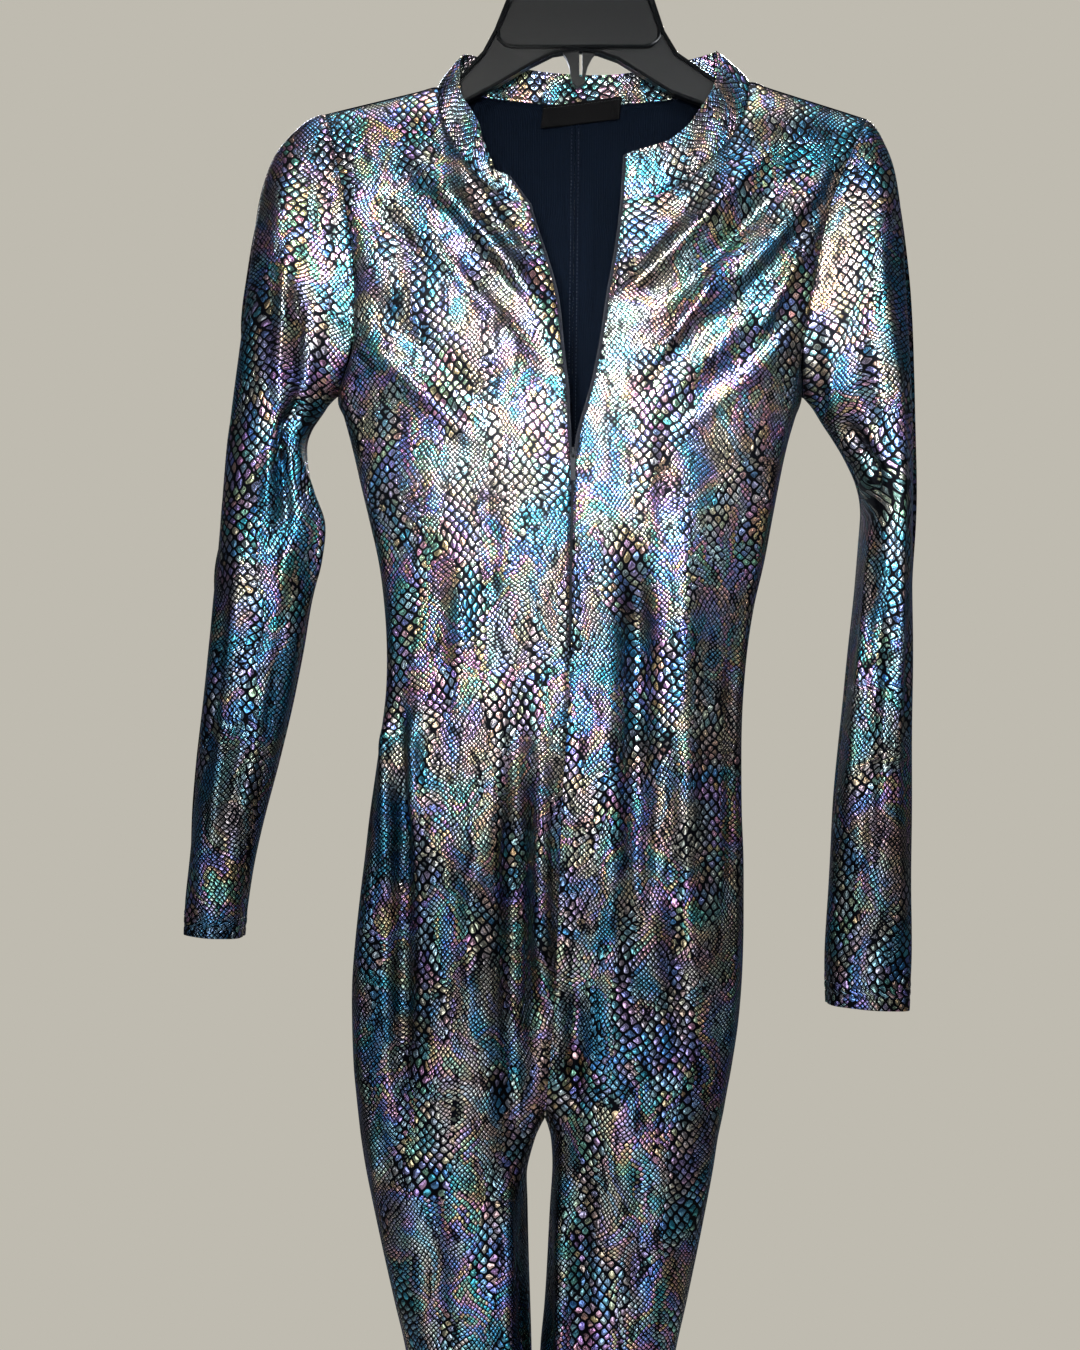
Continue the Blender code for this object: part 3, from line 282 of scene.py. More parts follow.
# Main creases, narrower than the folds and riding on them, same columns
CREASES = {
    "front": [
        (-122, -214, -70, -268, -6, -352, 1.9, 6.5), (-112, -270, -64, -322, -21, -380, 1.7, 6.5),
        (-105, -243, -62, -292, -20, -342, -1.4, 5), (-86, -206, -62, -250, -26, -306, 1.3, 5),
        (-148, -343, -104, -384, -44, -436, 1.2, 6), (152, -196, 75, -280, 22, -326, 2.0, 4.5),
        (124, -270, 75, -337, 30, -392, 2.0, 4), (192, -208, 155, -258, 66, -360, 1.9, 6.5),
        (180, -250, 148, -303, 118, -360, 1.8, 4), (160, -330, 120, -372, 56, -424, 1.1, 6),
        (100, -232, 66, -270, 34, -304, -1.3, 5), (150, -232, 96, -292, 42, -350, -1.6, 5),
        (-118, -560, -118, -740, -118, -900, -3.6, 6), (-111, -590, -112, -650, -112, -730, 2.2, 5),
        (-128, -590, -131, -650, -129, -750, 1.8, 4.5), (-40, -560, -41, -740, -42, -920, -4.0, 8),
        (-22, -590, -22, -740, -19, -812, 3.2, 5), (-17, -796, -19, -803, -14, -806, -2.2, 3),
        (43, -470, 44, -610, 42, -780, -4.0, 8), (52, -380, 51, -440, 50, -560, 1.2, 7),
        (2, -790, 1, -830, 0, -875, -2.2, 5), (24, -560, 26, -700, 22, -860, 1.3, 7),
        (74, -470, 77, -620, 75, -790, 2.4, 9), (108, -520, 110, -640, 108, -760, -1.4, 7),
        (-75, -480, -78, -560, -80, -640, 1.2, 8), (66, -640, 70, -740, 72, -860, -1.5, 7),
        (-66, -660, -70, -760, -72, -880, 1.4, 8), (-60, -440, -56, -500, -58, -570, -1.0, 7),
        (-140, -880, -136, -910, -132, -935, 1.4, 4), (-46, -900, -46, -1000, -46, -1120, 2.2, 5),
        (-34, -910, -34, -1000, -34, -1110, -1.6, 4), (-6, -905, -8, -1000, -6, -1120, 2.2, 4.5),
        (8, -900, 6, -1000, 6, -1110, -1.6, 5), (-85, -1120, -80, -1250, -78, -1420, 1.5, 7),
        (-50, -1180, -52, -1300, -50, -1450, -1.3, 6), (14, -1140, 12, -1280, 10, -1420, 1.5, 7),
        (-6, -1200, -6, -1300, -4, -1430, -1.2, 5), (-72, -1500, -70, -1540, -74, -1590, -1.3, 6),
        (10, -1500, 12, -1540, 8, -1590, -1.3, 6)],
    "back": [
        (-120, -215, -75, -280, -20, -360, 1.5, 5), (-135, -290, -80, -350, -10, -420, 1.2, 5),
        (-95, -232, -50, -290, -15, -330, -1.0, 4.5), (155, -215, 95, -280, 25, -365, 1.5, 5),
        (160, -285, 100, -350, 20, -420, 1.3, 5), (120, -235, 70, -290, 25, -330, -1.0, 4.5),
        (-72, -520, -78, -660, -72, -800, -1.6, 5), (58, -540, 62, -660, 58, -790, -1.6, 5),
        (-110, -560, -112, -680, -108, -800, 1.3, 6), (98, -560, 100, -680, 96, -800, 1.3, 6),
        (-40, -600, -42, -720, -36, -850, 1.2, 6), (28, -600, 30, -720, 22, -850, 1.2, 6),
        (-125, -840, -90, -880, -50, -905, 1.4, 5), (85, -840, 55, -880, 5, -905, 1.4, 5),
        (-110, -870, -85, -900, -55, -930, -1.2, 5), (72, -870, 45, -900, 10, -930, -1.2, 5),
        (-80, -1080, -78, -1250, -76, -1420, 1.5, 7), (12, -1080, 14, -1250, 10, -1420, 1.5, 7),
        (-52, -1160, -54, -1300, -50, -1450, -1.2, 6), (-6, -1160, -8, -1300, -4, -1450, -1.2, 6)],
}
NECK_CROWDING, ROW_CROWDING = 1.3, 1.5      # columns and rows are closer near the neck


def read(table, names, wanted, place):
    """A named column of a table read smoothly at a place of its first column."""
    places = np.array([row[0] for row in table], dtype=float)
    values = np.array([row[names.index(wanted)] for row in table], dtype=float)
    if places[0] > places[-1]:
        places, values = places[::-1], values[::-1]
    slopes = np.gradient(values, places)
    k = int(np.clip(np.searchsorted(places, place) - 1, 0, len(places) - 2))
    step = places[k + 1] - places[k]
    s = min(max((place - places[k]) / step, 0.0), 1.0)
    rise = values[k + 1] - values[k]
    low, high = (slopes[k] * step, slopes[k + 1] * step) if rise else (0.0, 0.0)
    return (values[k] + s * low + s * s * (3 * rise - 2 * low - high)
            + s * s * s * (low + high - 2 * rise))


def read_straight(wanted, z):
    """A column of the body's table read along straight lines."""
    return float(np.interp(-z, [-row[0] for row in BODY],
                           [row[BODY_NAMES.index(wanted)] for row in BODY]))


def ramp(value, start, end):
    """Soft step from 0 at start to 1 at end."""
    s = np.clip((value - start) / (end - start), 0.0, 1.0)
    return s * s * (3 - 2 * s)


def body_point(side, face, u, z):
    """A point of the trunk or leg; u is 0 at the centre seam or inseam, 1 at the side."""
    inner = read_straight("in_" + side, z)
    if face == "front" and z > OPENING_BOTTOM_Z:
        inner = read(OPENING, OPENING_NAMES, "x_" + side, z)
    outer = read(BODY, BODY_NAMES, "side_" + side, z)
    split = read_straight("split", z)
    depth = read(BODY, BODY_NAMES, face, z)
    half = (outer - inner) / (1 + split)
    even = math.acos(min(max(-split + (1 + split) * u, -1.0), 1.0))
    angle = 0.5 * (math.acos(-split) * (1 - u) + even)
    y = depth * max(math.sin(angle), 0.0) ** SECTION_POWER
    return Vector((outer - half + half * math.cos(angle), -y if face == "front" else y, z))


def neck_point(side, run, top=False):
    """A point of the neckline, or of the collar's top above it."""
    names = ("top_x", "top_y", "top_z") if top else ("x", "y", "z")
    return Vector([read(NECK[side], NECK_NAMES, name, run) for name in names])


def back_neck_run(i):
    """Column i of the back neckline, counted from the centre back, closer at the side."""
    share = (1 - i / NECK_COLUMNS["back"]) ** NECK_CROWDING
    return NECK_POINT_RUN + (1 - NECK_POINT_RUN) * share


def armhole_point(side, face, run):
    """A point of the armhole seam on a panel's side of it."""
    depth = read(ARMHOLE[side], ARMHOLE_NAMES, face, run)
    return Vector((read(ARMHOLE[side], ARMHOLE_NAMES, "x", run),
                   -depth if face == "front" else depth,
                   read(ARMHOLE[side], ARMHOLE_NAMES, "z", run)))


def top_point(side, face, i):
    """Column i of a panel's top edge: neckline, then shoulder seam."""
    share = i / NECK_COLUMNS[face]
    if share <= 1:
        return neck_point(side, NECK_POINT_RUN * share if face == "front" else back_neck_run(i))
    share = (i - NECK_COLUMNS[face]) / SHOULDER_COLUMNS
    return neck_point(side, NECK_POINT_RUN).lerp(armhole_point(side, face, 0), share)


def centre_edge_point(side, face, run):
    """The panel's centre edge from the collar down to the underarm's height."""
    top, low = top_point(side, face, 0), body_point(side, face, 0, UNDERARM_Z)
    if face == "back":
        return top.lerp(low, run)

    def at(z):
        return Vector((read(OPENING, OPENING_NAMES, "x_" + side, z),
                       read(OPENING, OPENING_NAMES, "y", z), z))
    return at(top.z + (low.z - top.z) * run) + (top - at(top.z)) * (1 - run)


def row_run(j):
    """How far down row j of the upper rows is, from 0 to 1."""
    return (j / UPPER_ROWS) ** ROW_CROWDING


def upper_point(side, face, i, j, columns):
    """A point between the neckline, shoulder, armhole, opening and underarm's height."""
    u, v = i / columns, row_run(j)
    top, low = top_point(side, face, i), body_point(side, face, u, UNDERARM_Z)
    left, right = centre_edge_point(side, face, v), armhole_point(side, face, v)
    left_line = top_point(side, face, 0).lerp(body_point(side, face, 0, UNDERARM_Z), v)
    right_line = armhole_point(side, face, 0).lerp(armhole_point(side, face, 1), v)
    point = top.lerp(low, v) + (left - left_line) * (1 - u) + (right - right_line) * u
    neck_share = NECK_COLUMNS[face] / columns
    window = (ramp(u, ROUND_FROM * neck_share, neck_share) * (1 - u * u * ROUND_FALL)
              * ramp(1 - u, 0, ROUND_EDGE))
    height = SHOULDER_ROUND * window * 2 * v ** ROUND_POWER * (1 - v) ** 2
    point.y += -height if face == "front" else height
    return point


def panel_frame(side, face):
    """Coarse rows of points of one panel from shoulder to ankle, as an array."""
    columns = SHOULDER_COLUMNS + NECK_COLUMNS[face]
    rows = [[upper_point(side, face, i, j, columns) for i in range(columns + 1)]
            for j in range(UPPER_ROWS)]
    rows += [[body_point(side, face, i / columns, z) for i in range(columns + 1)]
             for z in ROW_Z]
    grid = np.array(rows)
    for _ in range(RELAX_ROUNDS):
        around = (grid[:-2, 1:-1] + grid[2:, 1:-1] + grid[1:-1, :-2] + grid[1:-1, 2:]) / 4
        inner = grid[1:-1, 1:-1]
        inner[:UPPER_ROWS - 1] = ((inner + around) / 2)[:UPPER_ROWS - 1]
    return grid


def along_spline(grid, places):
    """Rows of a grid read at fractional places, along smooth curves through its rows."""
    slopes = np.gradient(grid, axis=0)
    k = np.clip(np.floor(places).astype(int), 0, len(grid) - 2)
    s = (places - k)[:, None, None]
    a, b, low, high = grid[k], grid[k + 1], slopes[k], slopes[k + 1]
    return (a + s * low + s * s * (3 * (b - a) - 2 * low - high)
            + s * s * s * (low + high - 2 * (b - a)))


EDGE_STEPS = (0.03, 0.07, 0.12, 0.19)     # extra rows of points beside a seam
EDGE_CLEAR = 0.22                         # where the even rows begin


def fine_places(count, steps):
    """Fractional places over a count of intervals, closer beside both ends."""
    inside = np.arange(1, count * steps) / steps
    inside = inside[(inside > EDGE_CLEAR) & (inside < count - EDGE_CLEAR)]
    near = np.array(EDGE_STEPS)
    return np.concatenate([[0.0], near, inside, count - near[::-1], [float(count)]])


HEM_ROWS = 18               # fine rows of points over a hem


def with_hem_rows(down, share):
    """Fine rows of points, closer over the last share of a coarse row, where a hem is."""
    start = down[-1] - share
    return np.concatenate([down[down < start], np.linspace(start, down[-1], HEM_ROWS)])


def fine_grid(grid, down, across):
    """A coarse grid of points read at fractional rows and columns."""
    points = along_spline(grid, down)
    return along_spline(points.transpose(1, 0, 2), across).transpose(1, 0, 2)


def outward(points, flip):
    """Unit normals of a grid of points."""
    across, down = np.gradient(points, axis=1), np.gradient(points, axis=0)
    normals = np.cross(down, across)
    normals /= np.maximum(np.linalg.norm(normals, axis=2, keepdims=True), 1e-9)
    return -normals if flip else normals


CURVE_POINTS = 129          # along a fold's curve, close enough for the narrowest crease


def fold_field(folds, x, z, fade, waver):
    """Sum of ridges and troughs at points of the front view.

    fade is the share of its length over which a fold dies out at each end; waver makes
    its height uneven, at 0 not at all and at 1 fully.
    """
    total = np.zeros_like(x)
    s = np.linspace(0, 1, CURVE_POINTS)
    for x0, z0, x1, z1, x2, z2, height, width in folds:
        a, b, c = (1 - s) * (1 - 2 * s), 4 * s * (1 - s), s * (2 * s - 1)
        cx, cz = a * x0 + b * x1 + c * x2, a * z0 + b * z1 + c * z2
        reach = 3 * width
        near = ((x > cx.min() - reach) & (x < cx.max() + reach)
                & (z > cz.min() - reach) & (z < cz.max() + reach))
        gap = np.hypot(x[near][:, None] - cx, z[near][:, None] - cz)
        along = s[gap.argmin(axis=1)]
        ends = ramp(along, 0, fade) * ramp(1 - along, 0, fade)
        # Two waves along a fold, out of step from one fold to the next
        uneven = 1 + waver * (0.25 * np.sin(along * 9 + x0 * 0.7)
                              + 0.15 * np.sin(along * 23 + z0))
        total[near] += height * ends * uneven * np.exp(-(gap.min(axis=1) / width) ** 2)
    return total


SEAM_DIP, SEAM_WIDTH = 0.9, 2.2     # mm, the cloth turns in at a sewn seam
STRETCH_WAVE = 0.45                 # mm, slack knit is never quite even


def seam_dip(points, edges):
    """How far the cloth dips beside its sewn edges, each given as (axis, far end)."""
    dip = np.zeros(points.shape[:2])
    for axis, end in edges:
        steps = np.linalg.norm(np.diff(points, axis=axis), axis=2)
        far = np.pad(np.cumsum(steps, axis=axis), [(1, 0), (0, 0)] if axis == 0
                     else [(0, 0), (1, 0)])
        if end:
            far = far.take([-1], axis=axis) - far
        dip = np.maximum(dip, np.exp(-(far / SEAM_WIDTH) ** 2))
    return dip * SEAM_DIP


def cloth_map(points, shift, tube=False):
    """Flat places of cloth, in mm: the front view, let out where the cloth slopes.

    On a tube the middle column is its outer line, and the back half goes on past it.
    """
    def let_out(steps):
        seen = np.maximum(np.hypot(steps[..., 0], steps[..., 2]), 1e-6)
        return steps * (np.linalg.norm(steps, axis=-1) / seen)[..., None]

    middle = points.shape[1] // 2
    grain = np.cumsum(let_out(np.diff(points[:, middle], axis=0)), axis=0)
    start = points[:, middle, [0, 2]]
    start[1:, 1] = start[0, 1] + grain[:, 2]
    steps = let_out(np.diff(points, axis=1))[:, :, [0, 2]]
    if tube:
        steps[:, middle:, 0] *= -1
    across = np.pad(np.cumsum(steps, axis=1), [(0, 0), (1, 0), (0, 0)])
    return start[:, None] + across - across[:, middle:middle + 1] + np.array(shift)


def add_cloth(name, points, places, flip, wall, materials):
    """A thin shell of cloth on a fine grid of points, in mm, with its flat map as UV."""
    rows, columns = points.shape[:2]
    bm = bmesh.new()
    bmesh.ops.create_grid(bm, x_segments=columns - 1, y_segments=rows - 1, size=0.5)
    cells = {}
    for vert in bm.verts:
        cells[vert] = (round((vert.co.y + 0.5) * (rows - 1)),
                       round((vert.co.x + 0.5) * (columns - 1)))
    uv = bm.loops.layers.uv.new("cloth")
    for vert, (j, i) in cells.items():
        vert.co = points[j, i] * MM
        for loop in vert.link_loops:
            loop[uv].uv = places[j, i] * MM
    bm.normal_update()
    j, i = rows // 2, columns // 2
    middle = next(v for v, cell in cells.items() if cell == (j, i))
    if middle.normal.dot(Vector(outward(points, flip)[j, i])) < 0:
        bmesh.ops.reverse_faces(bm, faces=bm.faces)
    mesh = take_mesh(bm, name)
    mesh.shade_smooth()
    for material in materials:
        mesh.materials.append(material)
    obj = add_object(name, mesh)
    shell = obj.modifiers.new("wall", "SOLIDIFY")
    shell.thickness, shell.offset = wall * MM, -1
    shell.material_offset = shell.material_offset_rim = 1
    return obj


def belong(piece, node=None, body="unitard"):
    """A piece rides on a body, and may stand for a CAD node, which is hidden."""
    if node:
        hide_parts(node)
    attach(piece, body)


# The foil: a clear holographic film with a snakeskin print, heat-bonded to the knit. Each
# scale is a small domed mirror of its own, with inked gaps between, and the film's tint
# drifts from teal to taupe and lilac. Rows of scales run on the bias both ways.
PER_METRE = 1000.0                        # features of 1 mm
LARGE_SCALE, SMALL_SCALE = 5.2, 2.6       # mm; the small one is drawn a little coarse
LARGE_UNEVEN, SMALL_UNEVEN = 0.36, 0.30   # 0 is a square lattice
BIAS, STRETCH = 45, (1.08, 0.98, 1.0)     # degrees, and how the lattice is drawn out
WANDER = 0.012                            # m, how far the rows of scales stray
PATCH, RAINBOW = 62.0, 24.0               # mm, drifts of tint
BAND_WIDE, BAND_HIGH = 30.0, 105.0        # mm, upright bands of large scales
GAP, INKED_GAP = 0.102, 0.12              # in scales: a gap's half, and more in a mark
INK = "#08090d"
FILM_STOPS = ((0.32, "#2c7793"), (0.41, "#457f99"), (0.46, "#76908f"), (0.50, "#a39580"),
              (0.56, "#8d7868"), (0.60, "#84799e"), (0.65, "#5278a6"), (0.73, "#378496"))
RAINBOW_STOPS = ((0.0, "#3597a3"), (0.16, "#a6cad4"), (0.34, "#4a7cc0"), (0.48, "#8f7ecb"),
                 (0.58, "#d38bb6"), (0.70, "#d3ae74"), (0.86, "#72b896"), (1.0, "#3597a3"))


def foil_material(name):
    """The print, drawn in the cloth's flat map from noise and cell patterns."""
    material, tree = start_material(name)
    add = partial(add_node, tree)

    def drift(at, wide, high, detail=2.0, rough=0.5, bend=0.0, place=(0.0, 0.0, 0.0)):
        """Noise with features of a width and height in mm."""
        scaled = add("Mapping", [("Vector", at), ("Location", place),
                                 ("Scale", (PER_METRE / wide, PER_METRE / high, 1.0))], 0)
        return add("TexNoise", [("Vector", scaled), ("Scale", 1.0), ("Detail", detail),
                                ("Roughness", rough), ("Distortion", bend)],
                   noise_dimensions="2D").outputs

    flat = add("UVMap", out=0, uv_map="cloth")
    centre = (0.5, 0.5, 0.5)
    wander = add("VectorMath", [(0, drift(flat, 40, 40, 1.0)["Color"]), (1, centre)], 0,
                 operation="SUBTRACT")
    wander = add("VectorMath", [(0, wander), ("Scale", WANDER)], 0, operation="SCALE")
    lattice = add("VectorMath", [(0, flat), (1, wander)], 0, operation="ADD")
    lattice = add("Mapping", [("Vector", lattice), ("Scale", STRETCH),
                              ("Rotation", (0, 0, math.radians(BIAS)))], 0)

    def scales(size, uneven):
        """Distance in from a rounded scale's edge, its tilt, its own colour and place."""
        common = [("Vector", lattice), ("Scale", PER_METRE / size), ("Randomness", uneven)]
        edge = add("TexVoronoi", common, voronoi_dimensions="2D",
                   feature="DISTANCE_TO_EDGE").outputs["Distance"]
        cell = add("TexVoronoi", common, voronoi_dimensions="2D").outputs
        corner = add("Math", [(0, 0.60), (1, cell["Distance"])], 0, operation="SUBTRACT")
        edge = add("Math", [(0, edge), (1, corner), (2, 0.08)], 0, operation="SMOOTH_MIN")
        here, middle = [add("VectorMath", [(0, point), ("Scale", PER_METRE / size)], 0,
                            operation="SCALE") for point in (lattice, cell["Position"])]
        off, lean = [add("VectorMath", [(0, point), (1, origin)], 0, operation="SUBTRACT")
                     for point, origin in ((here, middle), (cell["Color"], centre))]
        tilt = add("VectorMath", [(0, off), (1, lean)], "Value", operation="DOT_PRODUCT")
        return edge, tilt, cell["Color"], cell["Position"]

    # Large scales stand in broken upright bands, small ones fill the rest
    banded = add("MapRange", [("Value", drift(flat, BAND_WIDE, BAND_HIGH, 3.0, 0.6, 0.4)["Fac"]),
                              ("From Min", 0.515), ("From Max", 0.545)], 0,
                 interpolation_type="SMOOTHSTEP")
    edge, tilt, own, middle = [
        add("Mix", [(0, banded), (first, small), (first + 1, large)], out, data_type=kind)
        for (kind, first, out), small, large in zip(
            (("FLOAT", 2, 0), ("FLOAT", 2, 0), ("RGBA", 6, 2), ("VECTOR", 4, 1)),
            scales(SMALL_SCALE, SMALL_UNEVEN), scales(LARGE_SCALE, LARGE_UNEVEN))]
    own = add("SeparateColor", [("Color", own)]).outputs

    # Inked marks: dark leaf-shaped strands between the bands, where the gaps are wide
    inked = add("MapRange", [("Value", drift(flat, 7, 20, 3.0, 0.7, 0.6)["Fac"]),
                             ("From Min", 0.55), ("From Max", 0.66)], 0,
                interpolation_type="SMOOTHSTEP")
    gap = add("Math", [(0, inked), (1, INKED_GAP), (2, GAP)], 0, operation="MULTIPLY_ADD")
    over = add("Math", [(0, edge), (1, gap)], 0, operation="SUBTRACT")
    scale, dome = [add("MapRange", [("Value", over), ("From Min", 0.0), ("From Max", full)], 0,
                       interpolation_type="SMOOTHSTEP") for full in (0.09, 0.34)]

    # Film tint: broad teal, taupe and lilac areas, with a rainbow drifting through them.
    # One tint to a scale: the drifts are read at its middle, turned upright from the bias
    level = add("Mapping", [("Vector", middle), ("Rotation", (0, 0, math.radians(-BIAS)))], 0)
    patch = drift(level, PATCH, PATCH * 1.3, 3.0, 0.55, 0.8)["Fac"]
    sweep = drift(level, RAINBOW, RAINBOW * 1.4, 2.0, 0.5, 0.8, (3.0, 7.0, 0.0))["Fac"]
    sweep = add("Math", [(0, sweep), (1, 3.0)], 0, operation="MULTIPLY")
    stray = add("Math", [(0, own[0]), (1, 0.12)], 0, operation="MULTIPLY")
    sweep = add("Math", [(0, sweep), (1, stray)], 0, operation="ADD")
    sweep = add("Math", [(0, sweep)], 0, operation="FRACT")
    tints = []
    for value, stops in ((patch, FILM_STOPS), (sweep, RAINBOW_STOPS)):
        ramp_node = add("ValToRGB", [("Fac", value)])
        while len(ramp_node.color_ramp.elements) < len(stops):
            ramp_node.color_ramp.elements.new(0.5)
        for element, (place, colour) in zip(ramp_node.color_ramp.elements, stops):
            element.position, element.color = place, linear(colour)
        tints.append(ramp_node.outputs[0])
    share = add("MapRange", [("Value", drift(level, 46, 60, 2.0, 0.5, 0.0,
                                             (11.0, 5.0, 0.0))["Fac"]),
                             ("From Min", 0.38), ("From Max", 0.66)], 0,
                interpolation_type="SMOOTHSTEP")
    share = add("Math", [(0, share), (1, 0.56), (2, 0.14)], 0, operation="MULTIPLY_ADD")
    tint = add("Mix", [(0, share), (6, tints[0]), (7, tints[1])], 2, data_type="RGBA")
    bright = add("Math", [(0, own[1]), (1, 0.55), (2, 0.60)], 0, operation="MULTIPLY_ADD")
    tint = add("HueSaturation", [("Value", bright), ("Color", tint)], 0)
    unmarked = add("Math", [(0, inked), (1, -0.7), (2, 1.0)], 0, operation="MULTIPLY_ADD")
    shown = add("Math", [(0, scale), (1, unmarked)], 0, operation="MULTIPLY")
    colour = add("Mix", [(0, shown), (6, linear(INK)), (7, tint)], 2, data_type="RGBA")
    rough = add("Math", [(0, shown), (1, -0.30), (2, 0.55)], 0, operation="MULTIPLY_ADD")

    # Relief: domed and tilted scales on a pebbled film, lower on the small ones
    pebble = drift(flat, 3.5, 3.5, 1.0)["Fac"]
    height = add("Math", [(0, pebble), (1, 0.22), (2, dome)], 0, operation="MULTIPLY_ADD")
    height = add("Math", [(0, tilt), (1, 0.65), (2, height)], 0, operation="MULTIPLY_ADD")
    lower = add("Math", [(0, banded), (1, 0.5), (2, 0.5)], 0, operation="MULTIPLY_ADD")
    height = add("Math", [(0, height), (1, lower)], 0, operation="MULTIPLY")
    bump = add("Bump", [("Height", height), ("Strength", 0.8), ("Distance", 0.0003)], 0)
    shader = add("BsdfPrincipled", [("Base Color", colour), ("Roughness", rough),
                                    ("Metallic", 0.98), ("Normal", bump)], 0)
    add("OutputMaterial", [("Surface", shader)])
    return material


foil = foil_material("holographic_foil_knit")

# The back of the cloth: polyester and elastane tricot, the foil's ground, matt navy
# with fine wales running up the body.
knit, tree = start_material("navy_tricot")
add = partial(add_node, tree)
place = add("UVMap", out=0, uv_map="cloth")
wales = add("TexWave", [("Vector", place), ("Scale", 190.0), ("Distortion", 0.8),
                        ("Detail", 2.0)], "Fac")
fuzz = add("TexNoise", [("Vector", place), ("Scale", 900.0)], "Fac")
tone = add("Mix", [(0, fuzz), (6, linear("#03050a")), (7, linear("#060a11"))], 2,
           data_type="RGBA")
bump = add("Bump", [("Height", wales), ("Strength", 0.3), ("Distance", 0.0002)], 0)
shader = add("BsdfPrincipled", [("Base Color", tone), ("Roughness", 0.9), ("Specular IOR Level", 0.0),
                                ("Normal", bump)], 0)
add("OutputMaterial", [("Surface", shader)])

# Hems: turned in once at cuffs and ankles, and held by two rows of stitches.
CUFF_STITCHES = {"r": (6.3, 13.3), "l": (9.0, 15.5)}     # mm up from the cuff's edge
ANKLE_STITCHES = (8.0, 15.0)
HEM_THICK, HEM_FOLD = 0.5, 2.5      # mm: the turned hem stands out, to just past its stitches
STITCH_DIP, STITCH_DIP_WIDTH = 0.55, 1.3
STITCH_PITCH, STITCH_LONG, THREAD = 3.0, 2.3, 0.24


def hem_field(height, rows_of_stitches):
    """A turned hem's step, with a groove where each row of stitches draws it in."""
    top = rows_of_stitches[-1] + HEM_FOLD
    field = HEM_THICK * (1 - ramp(height, top - 1, top + 1))
    for place in rows_of_stitches:
        field = field - STITCH_DIP * np.exp(-((height - place) / STITCH_DIP_WIDTH) ** 2)
    return field


def height_up(points):
    """Distance of each point up its column from the grid's last row."""
    steps = np.linalg.norm(np.diff(points, axis=0), axis=2)
    far = np.pad(np.cumsum(steps, axis=0), [(1, 0), (0, 0)])
    return far[-1:] - far


PANEL_STEPS, PANEL_HEM = (8, 7), 0.4        # fine rows and columns for each coarse one
CLOTH_WALL = 0.9
FOLD_FADE, CREASE_FADE = 0.25, 0.35         # of their length, at each end
CREASE_DEPTH = 2.0                          # the creases' heights are let out by this
EDGE_FADE, INSEAM_FADE = 0.2, 0.12          # of the panel, where folds die out
CREASE_TOP, CREASE_SIDE = 0.1, 0.08         # of the panel, where creases die out
ZIP_PART, ZIP_PART_WIDTH = 0.9, 2.5         # mm, the folded edges over the closed zip
ZIP_ROLL, ZIP_ROLL_AT, ZIP_ROLL_WIDTH = 0.7, 2.4, 1.4
ZIP_RUN_IN, ZIP_RUN_OUT = 25, 6             # mm, where that starts and ends
SIDE_WORD = {"r": "right", "l": "left"}
CUT_PLACES = {("r", "front"): (0, 0), ("l", "front"): (310, 170),
              ("r", "back"): (900, 60), ("l", "back"): (1300, 230)}   # mm, on printed cloth
panels = {(side, face): panel_frame(side, face) for side in "rl" for face in ("front", "back")}


def with_neighbours(side, face):
    """The coarse panel with a column more on each side, from the panels sewn to it."""
    grid = panels[side, face]
    other_face = panels[side, "back" if face == "front" else "front"]
    other_side = panels["l" if side == "r" else "r", face]
    z = grid[:, 0, 2]
    first = 2 * grid[:, 0] - grid[:, 1]
    joined = z < OPENING_BOTTOM_Z if face == "front" else z < 0
    centre, inseam = joined & (z > CROTCH_Z + 1), z <= CROTCH_Z + 1
    first[centre] = other_side[centre, 1]
    first[inseam] = other_face[inseam, 1]
    last = 2 * grid[:, -1] - grid[:, -2]
    last[UPPER_ROWS:] = other_face[UPPER_ROWS:, -2]
    return np.concatenate([first[:, None], grid, last[:, None]], axis=1)


